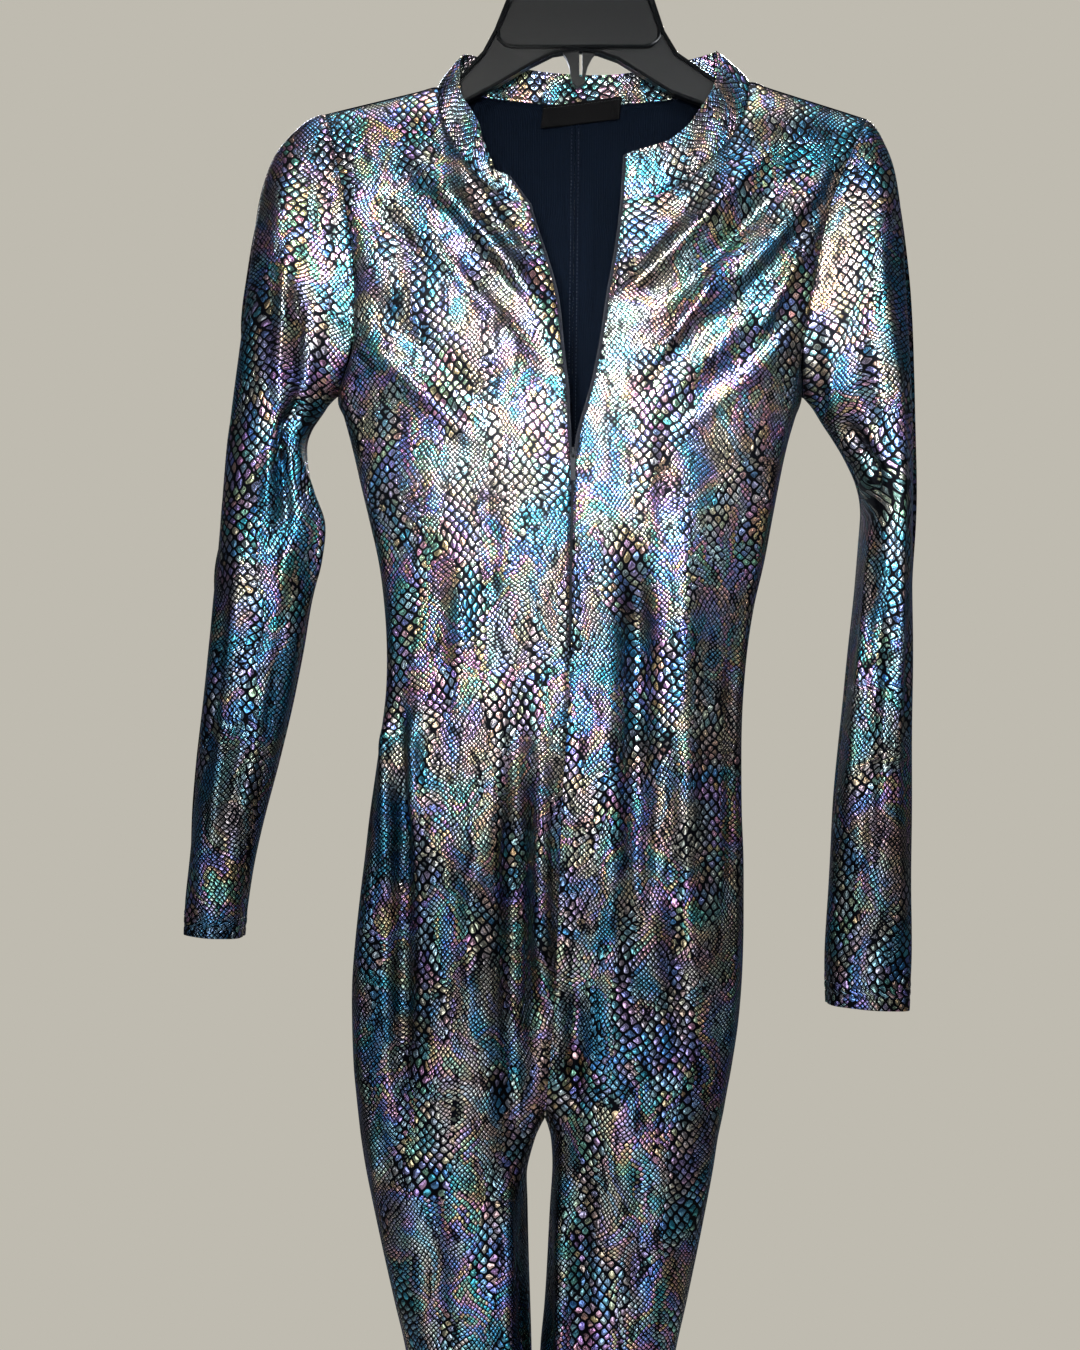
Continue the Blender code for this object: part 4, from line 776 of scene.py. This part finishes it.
def fine_panel(side, face):
    """The panel's fine points with folds, creases and sewn edges, and which way it faces."""
    wide = with_neighbours(side, face)
    rows, columns = wide.shape[0] - 1, wide.shape[1] - 3
    down = with_hem_rows(fine_places(rows, PANEL_STEPS[0]), PANEL_HEM)
    across = fine_places(columns, PANEL_STEPS[1])
    points = fine_grid(wide, down, across + 1)
    u = (across / columns)[None, :] + 0 * points[:, :, 0]
    row_v = np.array([row_run(min(j, UPPER_ROWS)) for j in range(rows + 1)])
    v = np.interp(down, np.arange(rows + 1), row_v)[:, None] + 0 * u
    split = np.array([read_straight("split", z) for z in points[:, 0, 2]])[:, None]
    flip = (side == "l") == (face == "back")
    x, z = points[:, :, 0].copy(), points[:, :, 2].copy()
    fade = (ramp(1 - u, 0, EDGE_FADE) * ramp(v, 0, EDGE_FADE)
            * (1 - split * ramp(INSEAM_FADE - u, 0, INSEAM_FADE)))
    folds = fade * fold_field(FOLDS[face], x, z, FOLD_FADE, waver=0.0)
    points[:, :, 1] += -folds if face == "front" else folds
    normals = outward(points, flip)
    soft = ramp(v, 0, CREASE_TOP) * ramp(1 - u, 0, CREASE_SIDE)
    crease = CREASE_DEPTH * fold_field(CREASES[face], x, z, CREASE_FADE, waver=1.0)
    # Slack in the knit: upright waves 57 mm apart, which wander on their way down
    crease += STRETCH_WAVE * np.sin(x * 0.11 + 2.1 * np.sin(z * 0.013) + z * 0.004)
    dip = seam_dip(points, [(1, False), (1, True), (0, False)])
    points = points + normals * (soft * crease - dip)[:, :, None]
    if face == "front":
        # The folded edges over the closed zip stand a little apart, with a soft roll
        zipped = (ramp(-z, -OPENING_BOTTOM_Z - ZIP_RUN_IN, -OPENING_BOTTOM_Z)
                  * ramp(z, ZIP_END_Z, ZIP_END_Z + ZIP_RUN_OUT))
        off = np.abs(x - x[:, :1])
        part = ZIP_PART * zipped * np.exp(-(off / ZIP_PART_WIDTH) ** 2)
        points[:, :, 0] += part if side == "l" else -part
        points[:, :, 1] -= ZIP_ROLL * zipped * np.exp(-((off - ZIP_ROLL_AT)
                                                        / ZIP_ROLL_WIDTH) ** 2)
    return points + normals * hem_field(height_up(points), ANKLE_STITCHES)[:, :, None], flip


fine_panels = {}
for (side, face) in panels:
    points, flip = fine_panels[side, face] = fine_panel(side, face)
    name = face + "_" + SIDE_WORD[side]
    panel = add_cloth(name + "_panel", points, cloth_map(points, CUT_PLACES[side, face]), flip,
                      CLOTH_WALL, [foil, knit])
    belong(panel, name)

# The sleeves: one piece each of the same knit, closed by a seam under the arm, with a
# narrow hem turned in at the cuff and held by two rows of stitches.
SLEEVE_ROWS = 20
SLEEVE_CROWDING = 1.15      # rows are closer near the armhole
RING_POWER = 0.85           # of a ring's section, as SECTION_POWER
# Outer line, inner line, depths in front and behind, and how far the arm hangs forward
SLEEVE_NAMES = ("run", "out_x", "out_z", "in_x", "in_z", "front", "back", "forward")
SLEEVE = {
    "r": [
        (0.00, -173.6, -184.6, -164.5, -383.0, 26, 19, 0),
        (0.05, -189.0, -190.6, -166.6, -385.0, 28, 20, 0),
        (0.10, -203.0, -206.0, -170.0, -388.5, 30, 22, 0),
        (0.16, -215.6, -236.6, -174.0, -393.3, 31, 24, 0),
        (0.21, -222.6, -273.0, -179.0, -400.0, 31, 25, 0),
        (0.26, -228.9, -318.5, -184.0, -409.0, 30, 26, 0),
        (0.31, -233.8, -357.0, -186.5, -421.0, 28, 26, 1),
        (0.36, -238.7, -399.0, -184.5, -438.0, 26, 26, 2),
        (0.41, -242.2, -434.0, -179.9, -455.0, 25, 26, 2),
        (0.46, -245.7, -472.5, -172.2, -477.0, 25, 26, 2),
        (0.54, -249.9, -518.0, -181.3, -518.0, 25, 26, 3),
        (0.64, -256.2, -581.0, -191.8, -581.0, 25, 26, 5),
        (0.75, -261.1, -644.0, -206.5, -644.0, 26, 26, 8),
        (0.87, -266.0, -707.0, -221.2, -707.0, 25, 25, 10),
        (0.95, -268.8, -738.5, -226.8, -739.0, 25, 25, 11),
        (1.00, -269.5, -756.0, -228.9, -758.8, 25, 25, 11)],
    "l": [
        (0.00, 205.8, -188.0, 160.3, -383.0, 26, 19, 0),
        (0.04, 212.1, -194.6, 161.7, -385.0, 28, 20, 0),
        (0.08, 218.4, -205.5, 164.5, -388.0, 30, 22, 0),
        (0.13, 224.0, -225.4, 168.7, -393.0, 31, 24, 0),
        (0.18, 228.2, -252.0, 173.6, -400.0, 32, 26, 0),
        (0.23, 231.0, -290.5, 180.6, -410.5, 33, 28, 0),
        (0.28, 233.8, -336.0, 189.0, -424.5, 33, 30, 0),
        (0.33, 235.2, -378.0, 196.7, -438.5, 34, 32, 0),
        (0.38, 236.6, -416.5, 201.2, -454.0, 34, 34, 0),
        (0.43, 236.6, -462.0, 200.8, -473.0, 34, 34, 1),
        (0.50, 235.9, -518.0, 196.7, -520.0, 34, 33, 2),
        (0.60, 235.9, -581.0, 190.4, -583.0, 32, 31, 4),
        (0.70, 235.2, -644.0, 183.4, -646.0, 29, 28, 6),
        (0.80, 234.5, -707.0, 178.5, -709.0, 26, 25, 8),
        (0.92, 234.5, -770.0, 175.0, -771.0, 23, 22, 10),
        (1.00, 233.1, -809.2, 175.7, -805.0, 21, 20, 11)],
}
# Folds of a sleeve: run0, turn0, run1, turn1, height, width; turn is 0 at the outer
# line, 0.25 in front, 0.5 under the arm and 0.75 behind
SLEEVE_FOLDS = {
    "r": [(0.20, 0.40, 0.52, 0.26, -5.0, 9), (0.12, 0.24, 0.34, 0.36, 3.0, 9),
          (0.50, 0.30, 0.80, 0.36, -2.5, 9), (0.18, 0.40, 0.52, 0.28, -2.0, 4),
          (0.22, 0.34, 0.50, 0.22, 1.6, 5), (0.05, 0.20, 0.34, 0.30, 1.5, 5),
          (0.08, 0.30, 0.30, 0.40, -1.2, 4), (0.45, 0.16, 0.92, 0.22, 1.3, 5),
          (0.40, 0.30, 0.85, 0.34, 1.2, 5), (0.60, 0.26, 0.95, 0.28, -1.0, 5),
          (0.30, 0.44, 0.60, 0.46, 1.5, 5), (0.15, 0.66, 0.55, 0.76, 1.6, 6),
          (0.25, 0.60, 0.50, 0.68, -1.4, 5), (0.45, 0.84, 0.90, 0.80, 1.3, 6)],
    "l": [(0.22, 0.44, 0.40, 0.34, -4.0, 8), (0.15, 0.26, 0.50, 0.22, 3.0, 10),
          (0.45, 0.36, 0.80, 0.30, -2.5, 9), (0.20, 0.45, 0.42, 0.33, -2.0, 4),
          (0.23, 0.38, 0.40, 0.28, 1.6, 4.5), (0.10, 0.20, 0.42, 0.18, 1.5, 5),
          (0.30, 0.22, 0.80, 0.16, 1.4, 5), (0.45, 0.30, 0.92, 0.26, -1.1, 5),
          (0.40, 0.40, 0.75, 0.38, 1.2, 5), (0.05, 0.34, 0.22, 0.42, 1.3, 5),
          (0.15, 0.64, 0.50, 0.74, 1.6, 6), (0.25, 0.58, 0.48, 0.66, -1.4, 5),
          (0.45, 0.84, 0.90, 0.80, 1.3, 6)],
}
FOLD_DEPTH = 1.15           # the folds' heights are let out by this
WIDE_FOLD = 6               # mm, from where a row is a fold and not a crease
SLEEVE_GIRTH = 180.0        # mm, for the width of a fold across the sleeve
RING_BLEND = (-0.02, 0.12)  # runs over which the armhole's line passes into rings
FOLD_END = 0.3              # of a fold's length, over which each end dies out
SEAM_CLEAR = 0.06           # turns beside the underarm seam, where folds die out
SLEEVE_STEPS, SLEEVE_HEM = (8, 9), 0.55
SLEEVE_CUT = {"r": (1700, 90), "l": (2100, 300)}     # mm, on the printed cloth


def sleeve_frame(side):
    """Coarse rings of a sleeve; a ring starts and ends at the underarm seam."""
    def at(name, run):
        return read(SLEEVE[side], SLEEVE_NAMES, name, run)

    rings, turns = [], []
    for j in range(SLEEVE_ROWS + 1):
        run = (j / SLEEVE_ROWS) ** SLEEVE_CROWDING
        outer = Vector((at("out_x", run), -at("forward", run), at("out_z", run)))
        inner = Vector((at("in_x", run), -at("forward", run), at("in_z", run)))
        ring, turns = [], []
        for i in range(2 * UPPER_ROWS + 1):
            face = "front" if i <= UPPER_ROWS else "back"
            k = abs(i - UPPER_ROWS)
            seam = armhole_point(side, face, row_run(k))
            angle = math.pi * (0.5 * row_run(k) + 0.5 * k / UPPER_ROWS)
            point = outer.lerp(inner, 0.5 - 0.5 * math.cos(angle))
            depth = at(face, run) * math.sin(angle) ** RING_POWER
            point.y += -depth if face == "front" else depth
            ring.append(seam.lerp(point, float(ramp(run, *RING_BLEND))) if run > 0 else seam)
            turns.append(0.5 * angle / math.pi if face == "front" else 1 - 0.5 * angle / math.pi)
        rings.append(ring)
    return np.array(rings), np.array(turns)


def sleeve_field(folds, run, turn):
    """Sum of a sleeve's folds and creases, none of them on the underarm seam."""
    total = np.zeros_like(run)
    for run0, turn0, run1, turn1, height, width in folds:
        height *= FOLD_DEPTH if width > WIDE_FOLD else CREASE_DEPTH
        along = (run - run0) / (run1 - run0)
        off = (turn - turn0 - (turn1 - turn0) * along) * SLEEVE_GIRTH
        window = ramp(along, 0, FOLD_END) * ramp(1 - along, 0, FOLD_END)
        uneven = 1 + 0.2 * np.sin(along * 11 + turn0 * 40)
        total += height * window * uneven * np.exp(-(off / width) ** 2)
    return total * ramp(np.abs(turn - 0.5), 0, SEAM_CLEAR)


def line_at(points, normals, heights, wanted):
    """A line of points and normals across the columns at a height above the last row."""
    both = np.concatenate([points, normals], axis=2)[::-1]
    return np.array([[np.interp(wanted, heights[::-1, i], both[:, i, c]) for c in range(6)]
                     for i in range(points.shape[1])])


def run_along(line):
    """Distance of each point of a line from its start."""
    return np.pad(np.cumsum(np.linalg.norm(np.diff(line, axis=0), axis=1)), (1, 0))


BATCH = 30                  # beads made at a time, which is quicker than all at once


def add_beads(name, places, material):
    """Small round beads of radius 1 mm, each drawn out by the matrix that places it."""
    total = bmesh.new()
    for start in range(0, len(places), BATCH):
        bm = bmesh.new()
        for place in places[start:start + BATCH]:
            bmesh.ops.create_uvsphere(bm, u_segments=6, v_segments=4, radius=MM, matrix=place)
        batch = take_mesh(bm, "batch")
        total.from_mesh(batch)
        bpy.data.meshes.remove(batch)
    mesh = take_mesh(total, name)
    mesh.shade_smooth()
    mesh.materials.append(material)
    return add_object(name, mesh)


def add_stitches(name, lines, pitch, long, thread, material):
    """Rows of stitches as small bars of thread, each row a line of points and normals."""
    places = []
    for line in lines:
        run = run_along(line[:, :3])
        for k in range(int(run[-1] / pitch)):
            middle = (k + 0.5) * pitch
            a, b, c = [Vector([np.interp(middle + step * long / 2, run, line[:, n])
                               for n in range(3)]) for step in (-1, 0, 1)]
            out = Vector([np.interp(middle, run, line[:, n]) for n in (3, 4, 5)]).normalized()
            along = (c - a).normalized()
            side = along.cross(out).normalized()
            turn = Matrix((side, along.cross(side), along)).transposed()
            place = Matrix.Translation((b + out * thread * 0.5) * MM) @ turn.to_4x4()
            places.append(place @ Matrix.Diagonal((thread, thread, long / 2, 1)))
    return add_beads(name, places, material)


def thread_material(name, dark, light):
    """Sewing thread: spun polyester, two plies twisted, a little shiny."""
    material, tree = start_material(name)
    add = partial(add_node, tree)
    place = add("TexCoord", out="Object")
    plies = add("TexWave", [("Vector", place), ("Scale", 900.0)], "Fac",
                bands_direction="DIAGONAL")
    tone = add("Mix", [(0, plies), (6, linear(dark)), (7, linear(light))], 2,
               data_type="RGBA")
    shader = add("BsdfPrincipled", [("Base Color", tone), ("Roughness", 0.5), ("Specular IOR Level", 0.12)], 0)
    add("OutputMaterial", [("Surface", shader)])
    return material


hem_thread = thread_material("grey_polyester_thread", "#2b2f35", "#5a6068")

for side in "rl":
    rings, turns = sleeve_frame(side)
    columns = rings.shape[1] - 1
    wide = np.concatenate([rings[:, -2:-1], rings, rings[:, 1:2]], axis=1)
    down = with_hem_rows(fine_places(SLEEVE_ROWS, SLEEVE_STEPS[0]), SLEEVE_HEM)
    across = fine_places(columns, SLEEVE_STEPS[1])
    points = fine_grid(wide, down, across + 1)
    run = ((down / SLEEVE_ROWS) ** SLEEVE_CROWDING)[:, None] + 0 * points[:, :, 0]
    turn = np.interp(across, np.arange(columns + 1), turns)[None, :] + 0 * run
    flip = side == "r"
    normals = outward(points, flip)
    # Slack in the knit: six waves round the sleeve, which wander on their way down
    slack = STRETCH_WAVE * np.sin(turn * 40 + 2 * np.sin(run * 17)) * ramp(run, 0, 0.1)
    field = sleeve_field(SLEEVE_FOLDS[side], run, turn) + slack
    dip = seam_dip(points, [(1, False), (1, True), (0, False)])
    points = points + normals * (field - dip)[:, :, None]
    heights = height_up(points)
    points = points + normals * hem_field(heights, CUFF_STITCHES[side])[:, :, None]
    word = SIDE_WORD[side]
    sleeve = add_cloth("sleeve_" + word + "_cloth", points,
                       cloth_map(points, SLEEVE_CUT[side], tube=True), flip, CLOTH_WALL,
                       [foil, knit])
    belong(sleeve, "sleeve_" + word)
    normals = outward(points, flip)
    rows = [line_at(points, normals, heights, height) for height in CUFF_STITCHES[side]]
    belong(add_stitches("cuff_" + word + "_stitches", rows, STITCH_PITCH, STITCH_LONG, THREAD,
                        hem_thread))

# Ankle hems and the centre back seam, which shows inside the open front: an overlocked
# seam with a row of stitches on each side of it.
hems = []
for points, flip in fine_panels.values():
    normals, heights = outward(points, flip), height_up(points)
    hems += [line_at(points, normals, heights, height) for height in ANKLE_STITCHES]
belong(add_stitches("ankle_stitches", hems, STITCH_PITCH, STITCH_LONG, THREAD, hem_thread))

SEAM_SIDE = 2.2                                           # mm, from the seam to a row
SEAM_PITCH, SEAM_STITCH, SEAM_THREAD = 2.6, 1.9, 0.3
THREAD_OFF = 0.1                                          # mm, clear of the cloth
seam_thread = thread_material("navy_polyester_thread", "#060910", "#0e1320")
lines = []
for side in "rl":
    points, flip = fine_panels[side, "back"]
    near = points[:, 0, 2] > CROTCH_Z
    normals = outward(points, flip)[near, 2]
    away = points[near, 3] - points[near, 0]
    away /= np.linalg.norm(away, axis=1, keepdims=True)
    inside = points[near, 0] + away * SEAM_SIDE - normals * (CLOTH_WALL + THREAD_OFF)
    lines.append(np.concatenate([inside, -normals], axis=1))
belong(add_stitches("back_seam_stitches", lines, SEAM_PITCH, SEAM_STITCH, SEAM_THREAD,
                    seam_thread))

# The collar: a stand collar of two layers, cut as one band and sewn to the neckline. It
# folds down at each front edge and stands up over the hanger at the sides.
COLLAR_ROWS, COLLAR_STEPS = 3, (7, 8)
COLLAR_WALL = 1.4
COLLAR_WAVE, COLLAR_DIP = 0.7, 0.8      # mm of slack, and share of a panel's seam dip
UNDERSTITCH = (0.5, 3.2, 1.2)           # mm: depth, place over the neckline, width
COLLAR_LAP = 1.1                        # mm, over the neckline it is sewn to
SEAM_ROWS = 4                           # fine rows over which the lap is drawn
COLLAR_CUT = 2500                       # mm, on the printed cloth
stations = []
for side in "rl":
    run = [NECK_POINT_RUN * i / NECK_COLUMNS["front"] for i in range(NECK_COLUMNS["front"])]
    run += [back_neck_run(i) for i in range(NECK_COLUMNS["back"], -1, -1)]
    ends = [(neck_point(side, r), neck_point(side, r, True)) for r in run]
    stations += ends if side == "r" else ends[::-1][1:]
band = np.array([[low.lerp(top, j / COLLAR_ROWS) for low, top in stations]
                 for j in range(COLLAR_ROWS + 1)])
down = fine_places(COLLAR_ROWS, COLLAR_STEPS[0])
across = fine_places(band.shape[1] - 1, COLLAR_STEPS[1])
points = fine_grid(band, down, across)
normals = outward(points, False)
share = (down / COLLAR_ROWS)[:, None]
# Slack: soft waves along the band, none at its seam
slack = COLLAR_WAVE * np.sin(across * 1.9 + 1.3 * share) * ramp(share, 0, 0.3)
dip = seam_dip(points, [(0, False), (0, True), (1, False), (1, True)]) * COLLAR_DIP
depth, place, width = UNDERSTITCH
understitch = depth * np.exp(-((height_up(points) - place) / width) ** 2)
points = points + normals * (slack - dip - understitch)[:, :, None]
lap = points[0] - points[SEAM_ROWS]
points[0] += lap / np.linalg.norm(lap, axis=1, keepdims=True) * COLLAR_LAP
along = COLLAR_CUT + run_along(points[len(points) // 2])
up = np.linalg.norm(points - points[:1], axis=2)
collar = add_cloth("collar_band", points, np.stack([along + 0 * up, up], axis=2), False,
                   COLLAR_WALL, [foil, foil])
belong(collar, "collar")

# The zip: an invisible zip, a nylon coil on woven polyester tape, sewn behind the edges
# of the opening and up the ends of the collar. Open, each tape shows as a dark border.
TAPE_BEHIND, TAPE_WALL, TAPE_WIDTH, TAPE_OVERHANG = 2.0, 1.0, 8.0, 2.5
TAPE_STEPS = (6, 4)
ARCH_ROOM = 1.0             # mm, kept clear on each side of the slider's arch
COIL_PITCH = 1.1
COIL_TOOTH = Matrix.Diagonal((0.672, 0.62, 0.5, 1))     # mm, half sizes
band_normals = outward(band, False)


def faces_back(points):
    """Whether outward() needs a flip for a piece to face the front."""
    return outward(points, False)[len(points) // 2, points.shape[1] // 2, 1] > 0


def tape_grid(side):
    """Coarse rows of a zip tape's face, from the collar's top down to the zip's end."""
    edge, beside = (0, 1) if side == "r" else (-1, -2)
    path = [(band[j, edge], band[j, beside], band_normals[j, edge])
            for j in range(COLLAR_ROWS, -1, -1)]
    panel = panels[side, "front"]
    panel_normals = outward(panel, faces_back(panel))
    for row, normal_row in zip(panel[1:], panel_normals[1:]):
        if row[0, 2] < ZIP_END_Z:
            break
        path.append((row[0], row[1], normal_row[0]))
    rows = []
    for start, towards, normal in path:
        inward = (towards - start) / np.linalg.norm(towards - start)
        overhang = TAPE_OVERHANG
        if start[2] < UNDERARM_Z - 1:
            room = abs(start[0] - read_straight("in_" + side, start[2])) - ARCH_ROOM
            overhang = min(max(room, 0.0), TAPE_OVERHANG)
        rows.append([start + inward * s - normal * TAPE_BEHIND
                     for s in (-overhang, TAPE_WIDTH * 0.5, TAPE_WIDTH)])
    return np.array(rows)


# Woven tape: fine warp ribs along it and a cross weft, dyed navy, with a dull lustre
tape_weave, tree = start_material("woven_polyester_tape")
add = partial(add_node, tree)
place = add("UVMap", out=0, uv_map="cloth")
warp = add("TexWave", [("Vector", place), ("Scale", 260.0)], "Fac")
weft = add("TexWave", [("Vector", place), ("Scale", 420.0)], "Fac", bands_direction="Y")
weave = add("Math", [(0, warp), (1, weft)], 0, operation="MULTIPLY")
tone = add("Mix", [(0, weave), (6, linear("#05070c")), (7, linear("#0e131e"))], 2,
           data_type="RGBA")
bump = add("Bump", [("Height", weave), ("Strength", 0.5), ("Distance", 0.0002)], 0)
shader = add("BsdfPrincipled", [("Base Color", tone), ("Roughness", 0.8), ("Specular IOR Level", 0.12),
                                ("Normal", bump)], 0)
add("OutputMaterial", [("Surface", shader)])

# Nylon coil: extruded and heat-set, smooth and waxy
coil_nylon, tree = start_material("nylon_coil")
add = partial(add_node, tree)
place = add("TexCoord", out="Object")
cloud = add("TexNoise", [("Vector", place), ("Scale", 300.0)], "Fac")
tone = add("Mix", [(0, cloud), (6, linear("#080b11")), (7, linear("#151b28"))], 2,
           data_type="RGBA")
shader = add("BsdfPrincipled", [("Base Color", tone), ("Roughness", 0.35), ("Specular IOR Level", 0.25)], 0)
add("OutputMaterial", [("Surface", shader)])

for side in "rl":
    grid = tape_grid(side)
    word = SIDE_WORD[side]
    down, across = [np.linspace(0, count - 1, (count - 1) * steps + 1)
                    for count, steps in zip(grid.shape, TAPE_STEPS)]
    points = fine_grid(grid, down, across)
    places = np.stack([np.linalg.norm(points - points[:, :1], axis=2), -height_up(points)],
                      axis=2)
    flip = faces_back(points)
    tape = add_cloth("zip_tape_" + word + "_weave", points, places, flip, TAPE_WALL,
                     [tape_weave, tape_weave])
    belong(tape, "zip_tape_" + word)
    # The coil's teeth sit on the tape's edge, a third of the way to its next points
    edge = points[:, 0] - outward(points, flip)[:, 0] * TAPE_WALL / 2
    edge += (points[:, 1] - points[:, 0]) / 3
    run = run_along(edge)
    teeth = (np.arange(int(run[-1] / COIL_PITCH)) + 0.5) * COIL_PITCH
    teeth = np.stack([np.interp(teeth, run, edge[:, c]) * MM for c in range(3)], axis=1)
    belong(add_beads("zip_coil_" + word, [Matrix.Translation(tooth) @ COIL_TOOTH
                                          for tooth in teeth], coil_nylon))

# The slider and its tab: die-cast zinc, painted navy to match, with rounded edges. The
# tab's bar turns in the slider's arch.
MERGE = 0.00001                                 # m
FLAT_ANGLE, BEVEL_ANGLE, SHARP_ANGLE = [math.radians(angle) for angle in (2, 30, 35)]
ZIP_EDGE, ZIP_EDGE_STEPS = 0.22, 2              # mm


def finished_copy(name, node, edge, segments, material):
    """A merged copy of a CAD node with rounded edges."""
    bm = bmesh.new()
    bm.from_mesh(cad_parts[node].data)
    bmesh.ops.remove_doubles(bm, verts=bm.verts, dist=MERGE)
    bmesh.ops.dissolve_limit(bm, angle_limit=FLAT_ANGLE, verts=bm.verts, edges=bm.edges)
    mesh = take_mesh(bm, name)
    mesh.materials.clear()
    mesh.materials.append(material)
    mesh.shade_smooth()
    mesh.set_sharp_from_angle(angle=SHARP_ANGLE)
    obj = add_object(name, mesh)
    bevel = obj.modifiers.new("rounded_edges", "BEVEL")
    bevel.width, bevel.segments, bevel.limit_method = edge * MM, segments, "ANGLE"
    bevel.angle_limit = BEVEL_ANGLE
    bevel.harden_normals = True
    return obj


# Baked enamel on zinc: dark navy, with a faint orange-peel surface
enamel, tree = start_material("baked_enamel_zinc")
add = partial(add_node, tree)
place = add("TexCoord", out="Object")
peel = add("TexNoise", [("Vector", place), ("Scale", 1400.0)], "Fac")
tone = add("Mix", [(0, peel), (6, linear("#05070b")), (7, linear("#0c111a"))], 2,
           data_type="RGBA")
bump = add("Bump", [("Height", peel), ("Strength", 0.2), ("Distance", 0.0001)], 0)
shader = add("BsdfPrincipled", [("Base Color", tone), ("Roughness", 0.4), ("Specular IOR Level", 0.04),
                                ("Normal", bump)], 0)
add("OutputMaterial", [("Surface", shader)])

for node, body in (("zip_slider", "unitard"), ("zip_pull", "pull")):
    belong(finished_copy(node + "_enamel", node, ZIP_EDGE, ZIP_EDGE_STEPS, enamel),
           node, body)

# The label: woven polyester satin, plain black, its ends turned under, sewn inside the
# back neck over the seam. It follows the neck's curve and hangs a little askew.
LABEL_WIDE, LABEL_HIGH, LABEL_WALL = 56.0, 16.0, 0.8
LABEL_MIDDLE, LABEL_TURN = (6.0, 11.9, -180.5), -7.0
LABEL_BEND = 0.0011                             # per mm, of the back neck's curve
LABEL_END, LABEL_END_DROP = (7, 5.5), 0.35      # mm, where the turned ends begin
LABEL_SEWN, LABEL_SEWN_DIP, LABEL_SEWN_WIDTH = 1.6, 0.5, 0.9
LABEL_RIPPLE = 0.35                             # mm, in waves 30 mm apart
LABEL_COLUMNS, LABEL_ROWS, SEWN_ROW = 57, 19, 2
LABEL_PITCH, LABEL_STITCH, LABEL_THREAD = 2.4, 1.8, 0.2
turn = math.radians(LABEL_TURN)
along, fall = np.meshgrid(np.linspace(-0.5, 0.5, LABEL_COLUMNS) * LABEL_WIDE,
                          np.linspace(0.5, -0.5, LABEL_ROWS) * LABEL_HIGH)
x = LABEL_MIDDLE[0] + along * math.cos(turn) - fall * math.sin(turn)
z = LABEL_MIDDLE[2] - along * math.sin(turn) + fall * math.cos(turn)
ends = ramp(np.abs(along), LABEL_WIDE / 2 - LABEL_END[0], LABEL_WIDE / 2 - LABEL_END[1])
held = LABEL_SEWN_DIP * np.exp(-((fall - LABEL_HIGH / 2 + LABEL_SEWN)
                                 / LABEL_SEWN_WIDTH) ** 2)
ripple = LABEL_RIPPLE * np.sin(along * 0.21 + 0.6) * ramp(-fall, -6, 8)
y = LABEL_MIDDLE[1] - LABEL_BEND * x * x - LABEL_END_DROP * ends + held - ripple
points = np.stack([x, y, z], axis=2)
# Woven satin: long black floats along the label, painted a shade lighter than the ground as painted sheen
# where they catch the light
satin, tree = start_material("black_label_satin")
add = partial(add_node, tree)
place = add("UVMap", out=0, uv_map="cloth")
floats = add("TexWave", [("Vector", place), ("Scale", 330.0), ("Distortion", 1.5),
                         ("Detail", 2.0)], "Fac", bands_direction="Y")
tone = add("Mix", [(0, floats), (6, linear("#020202")), (7, linear("#050506"))], 2,
           data_type="RGBA")
bump = add("Bump", [("Height", floats), ("Strength", 0.3), ("Distance", 0.0001)], 0)
shader = add("BsdfPrincipled", [("Base Color", tone), ("Roughness", 0.7), ("Specular IOR Level", 0.02),
                                ("Normal", bump)], 0)
add("OutputMaterial", [("Surface", shader)])
label = add_cloth("label_satin", points, np.stack([along, fall], axis=2), faces_back(points),
                  LABEL_WALL, [satin, satin])
belong(label, "label")
top = points[SEWN_ROW]
facing = np.tile([0.0, -1.0, 0.0], (len(top), 1))
belong(add_stitches("label_stitches", [np.concatenate([top, facing], axis=1)], LABEL_PITCH,
                    LABEL_STITCH, LABEL_THREAD,
                    thread_material("black_polyester_thread", "#08080a", "#1c1d20")))

# The hanger: one moulding of black high-impact polystyrene, glossy on its round ribs and
# satin in the sunken web between them.
WEB_DEPTH, RIB_DEPTH = 0.0022, 0.0040       # m from the middle plane
RIB_GLOSS = 0.17                            # its roughness
HANGER_EDGE, HANGER_EDGE_STEPS = 0.7, 3     # mm
styrene, tree = start_material("black_moulded_polystyrene")
add = partial(add_node, tree)
place = add("TexCoord", out="Object")
depth = add("SeparateXYZ", [("Vector", place)], 1)
depth = add("Math", [(0, depth)], 0, operation="ABSOLUTE")
rib = add("MapRange", [("Value", depth), ("From Min", WEB_DEPTH), ("From Max", RIB_DEPTH)], 0)
flow = add("TexNoise", [("Vector", place), ("Scale", 35.0), ("Detail", 3.0)], "Fac")
web = add("Math", [(0, flow), (1, 0.16), (2, 0.34)], 0, operation="MULTIPLY_ADD")
gloss = add("Mix", [(0, rib), (2, web), (3, RIB_GLOSS)], 0)
grain = add("TexNoise", [("Vector", place), ("Scale", 1600.0)], "Fac")
# The web's base colour is a shade lighter than the ribs': painted sheen of its satin surface. The ribs' darker
# black is the moulding's own colour.
tone = add("Mix", [(0, rib), (6, linear("#0e0f10")), (7, linear("#050607"))], 2,
           data_type="RGBA")
bump = add("Bump", [("Height", grain), ("Strength", 0.12), ("Distance", 0.0001)], 0)
shader = add("BsdfPrincipled", [("Base Color", tone), ("Roughness", gloss), ("Specular IOR Level", 0.065),
                                ("Normal", bump)], 0)
add("OutputMaterial", [("Surface", shader)])
belong(finished_copy("hanger_moulding", "hanger", HANGER_EDGE, HANGER_EDGE_STEPS, styrene),
       "hanger")
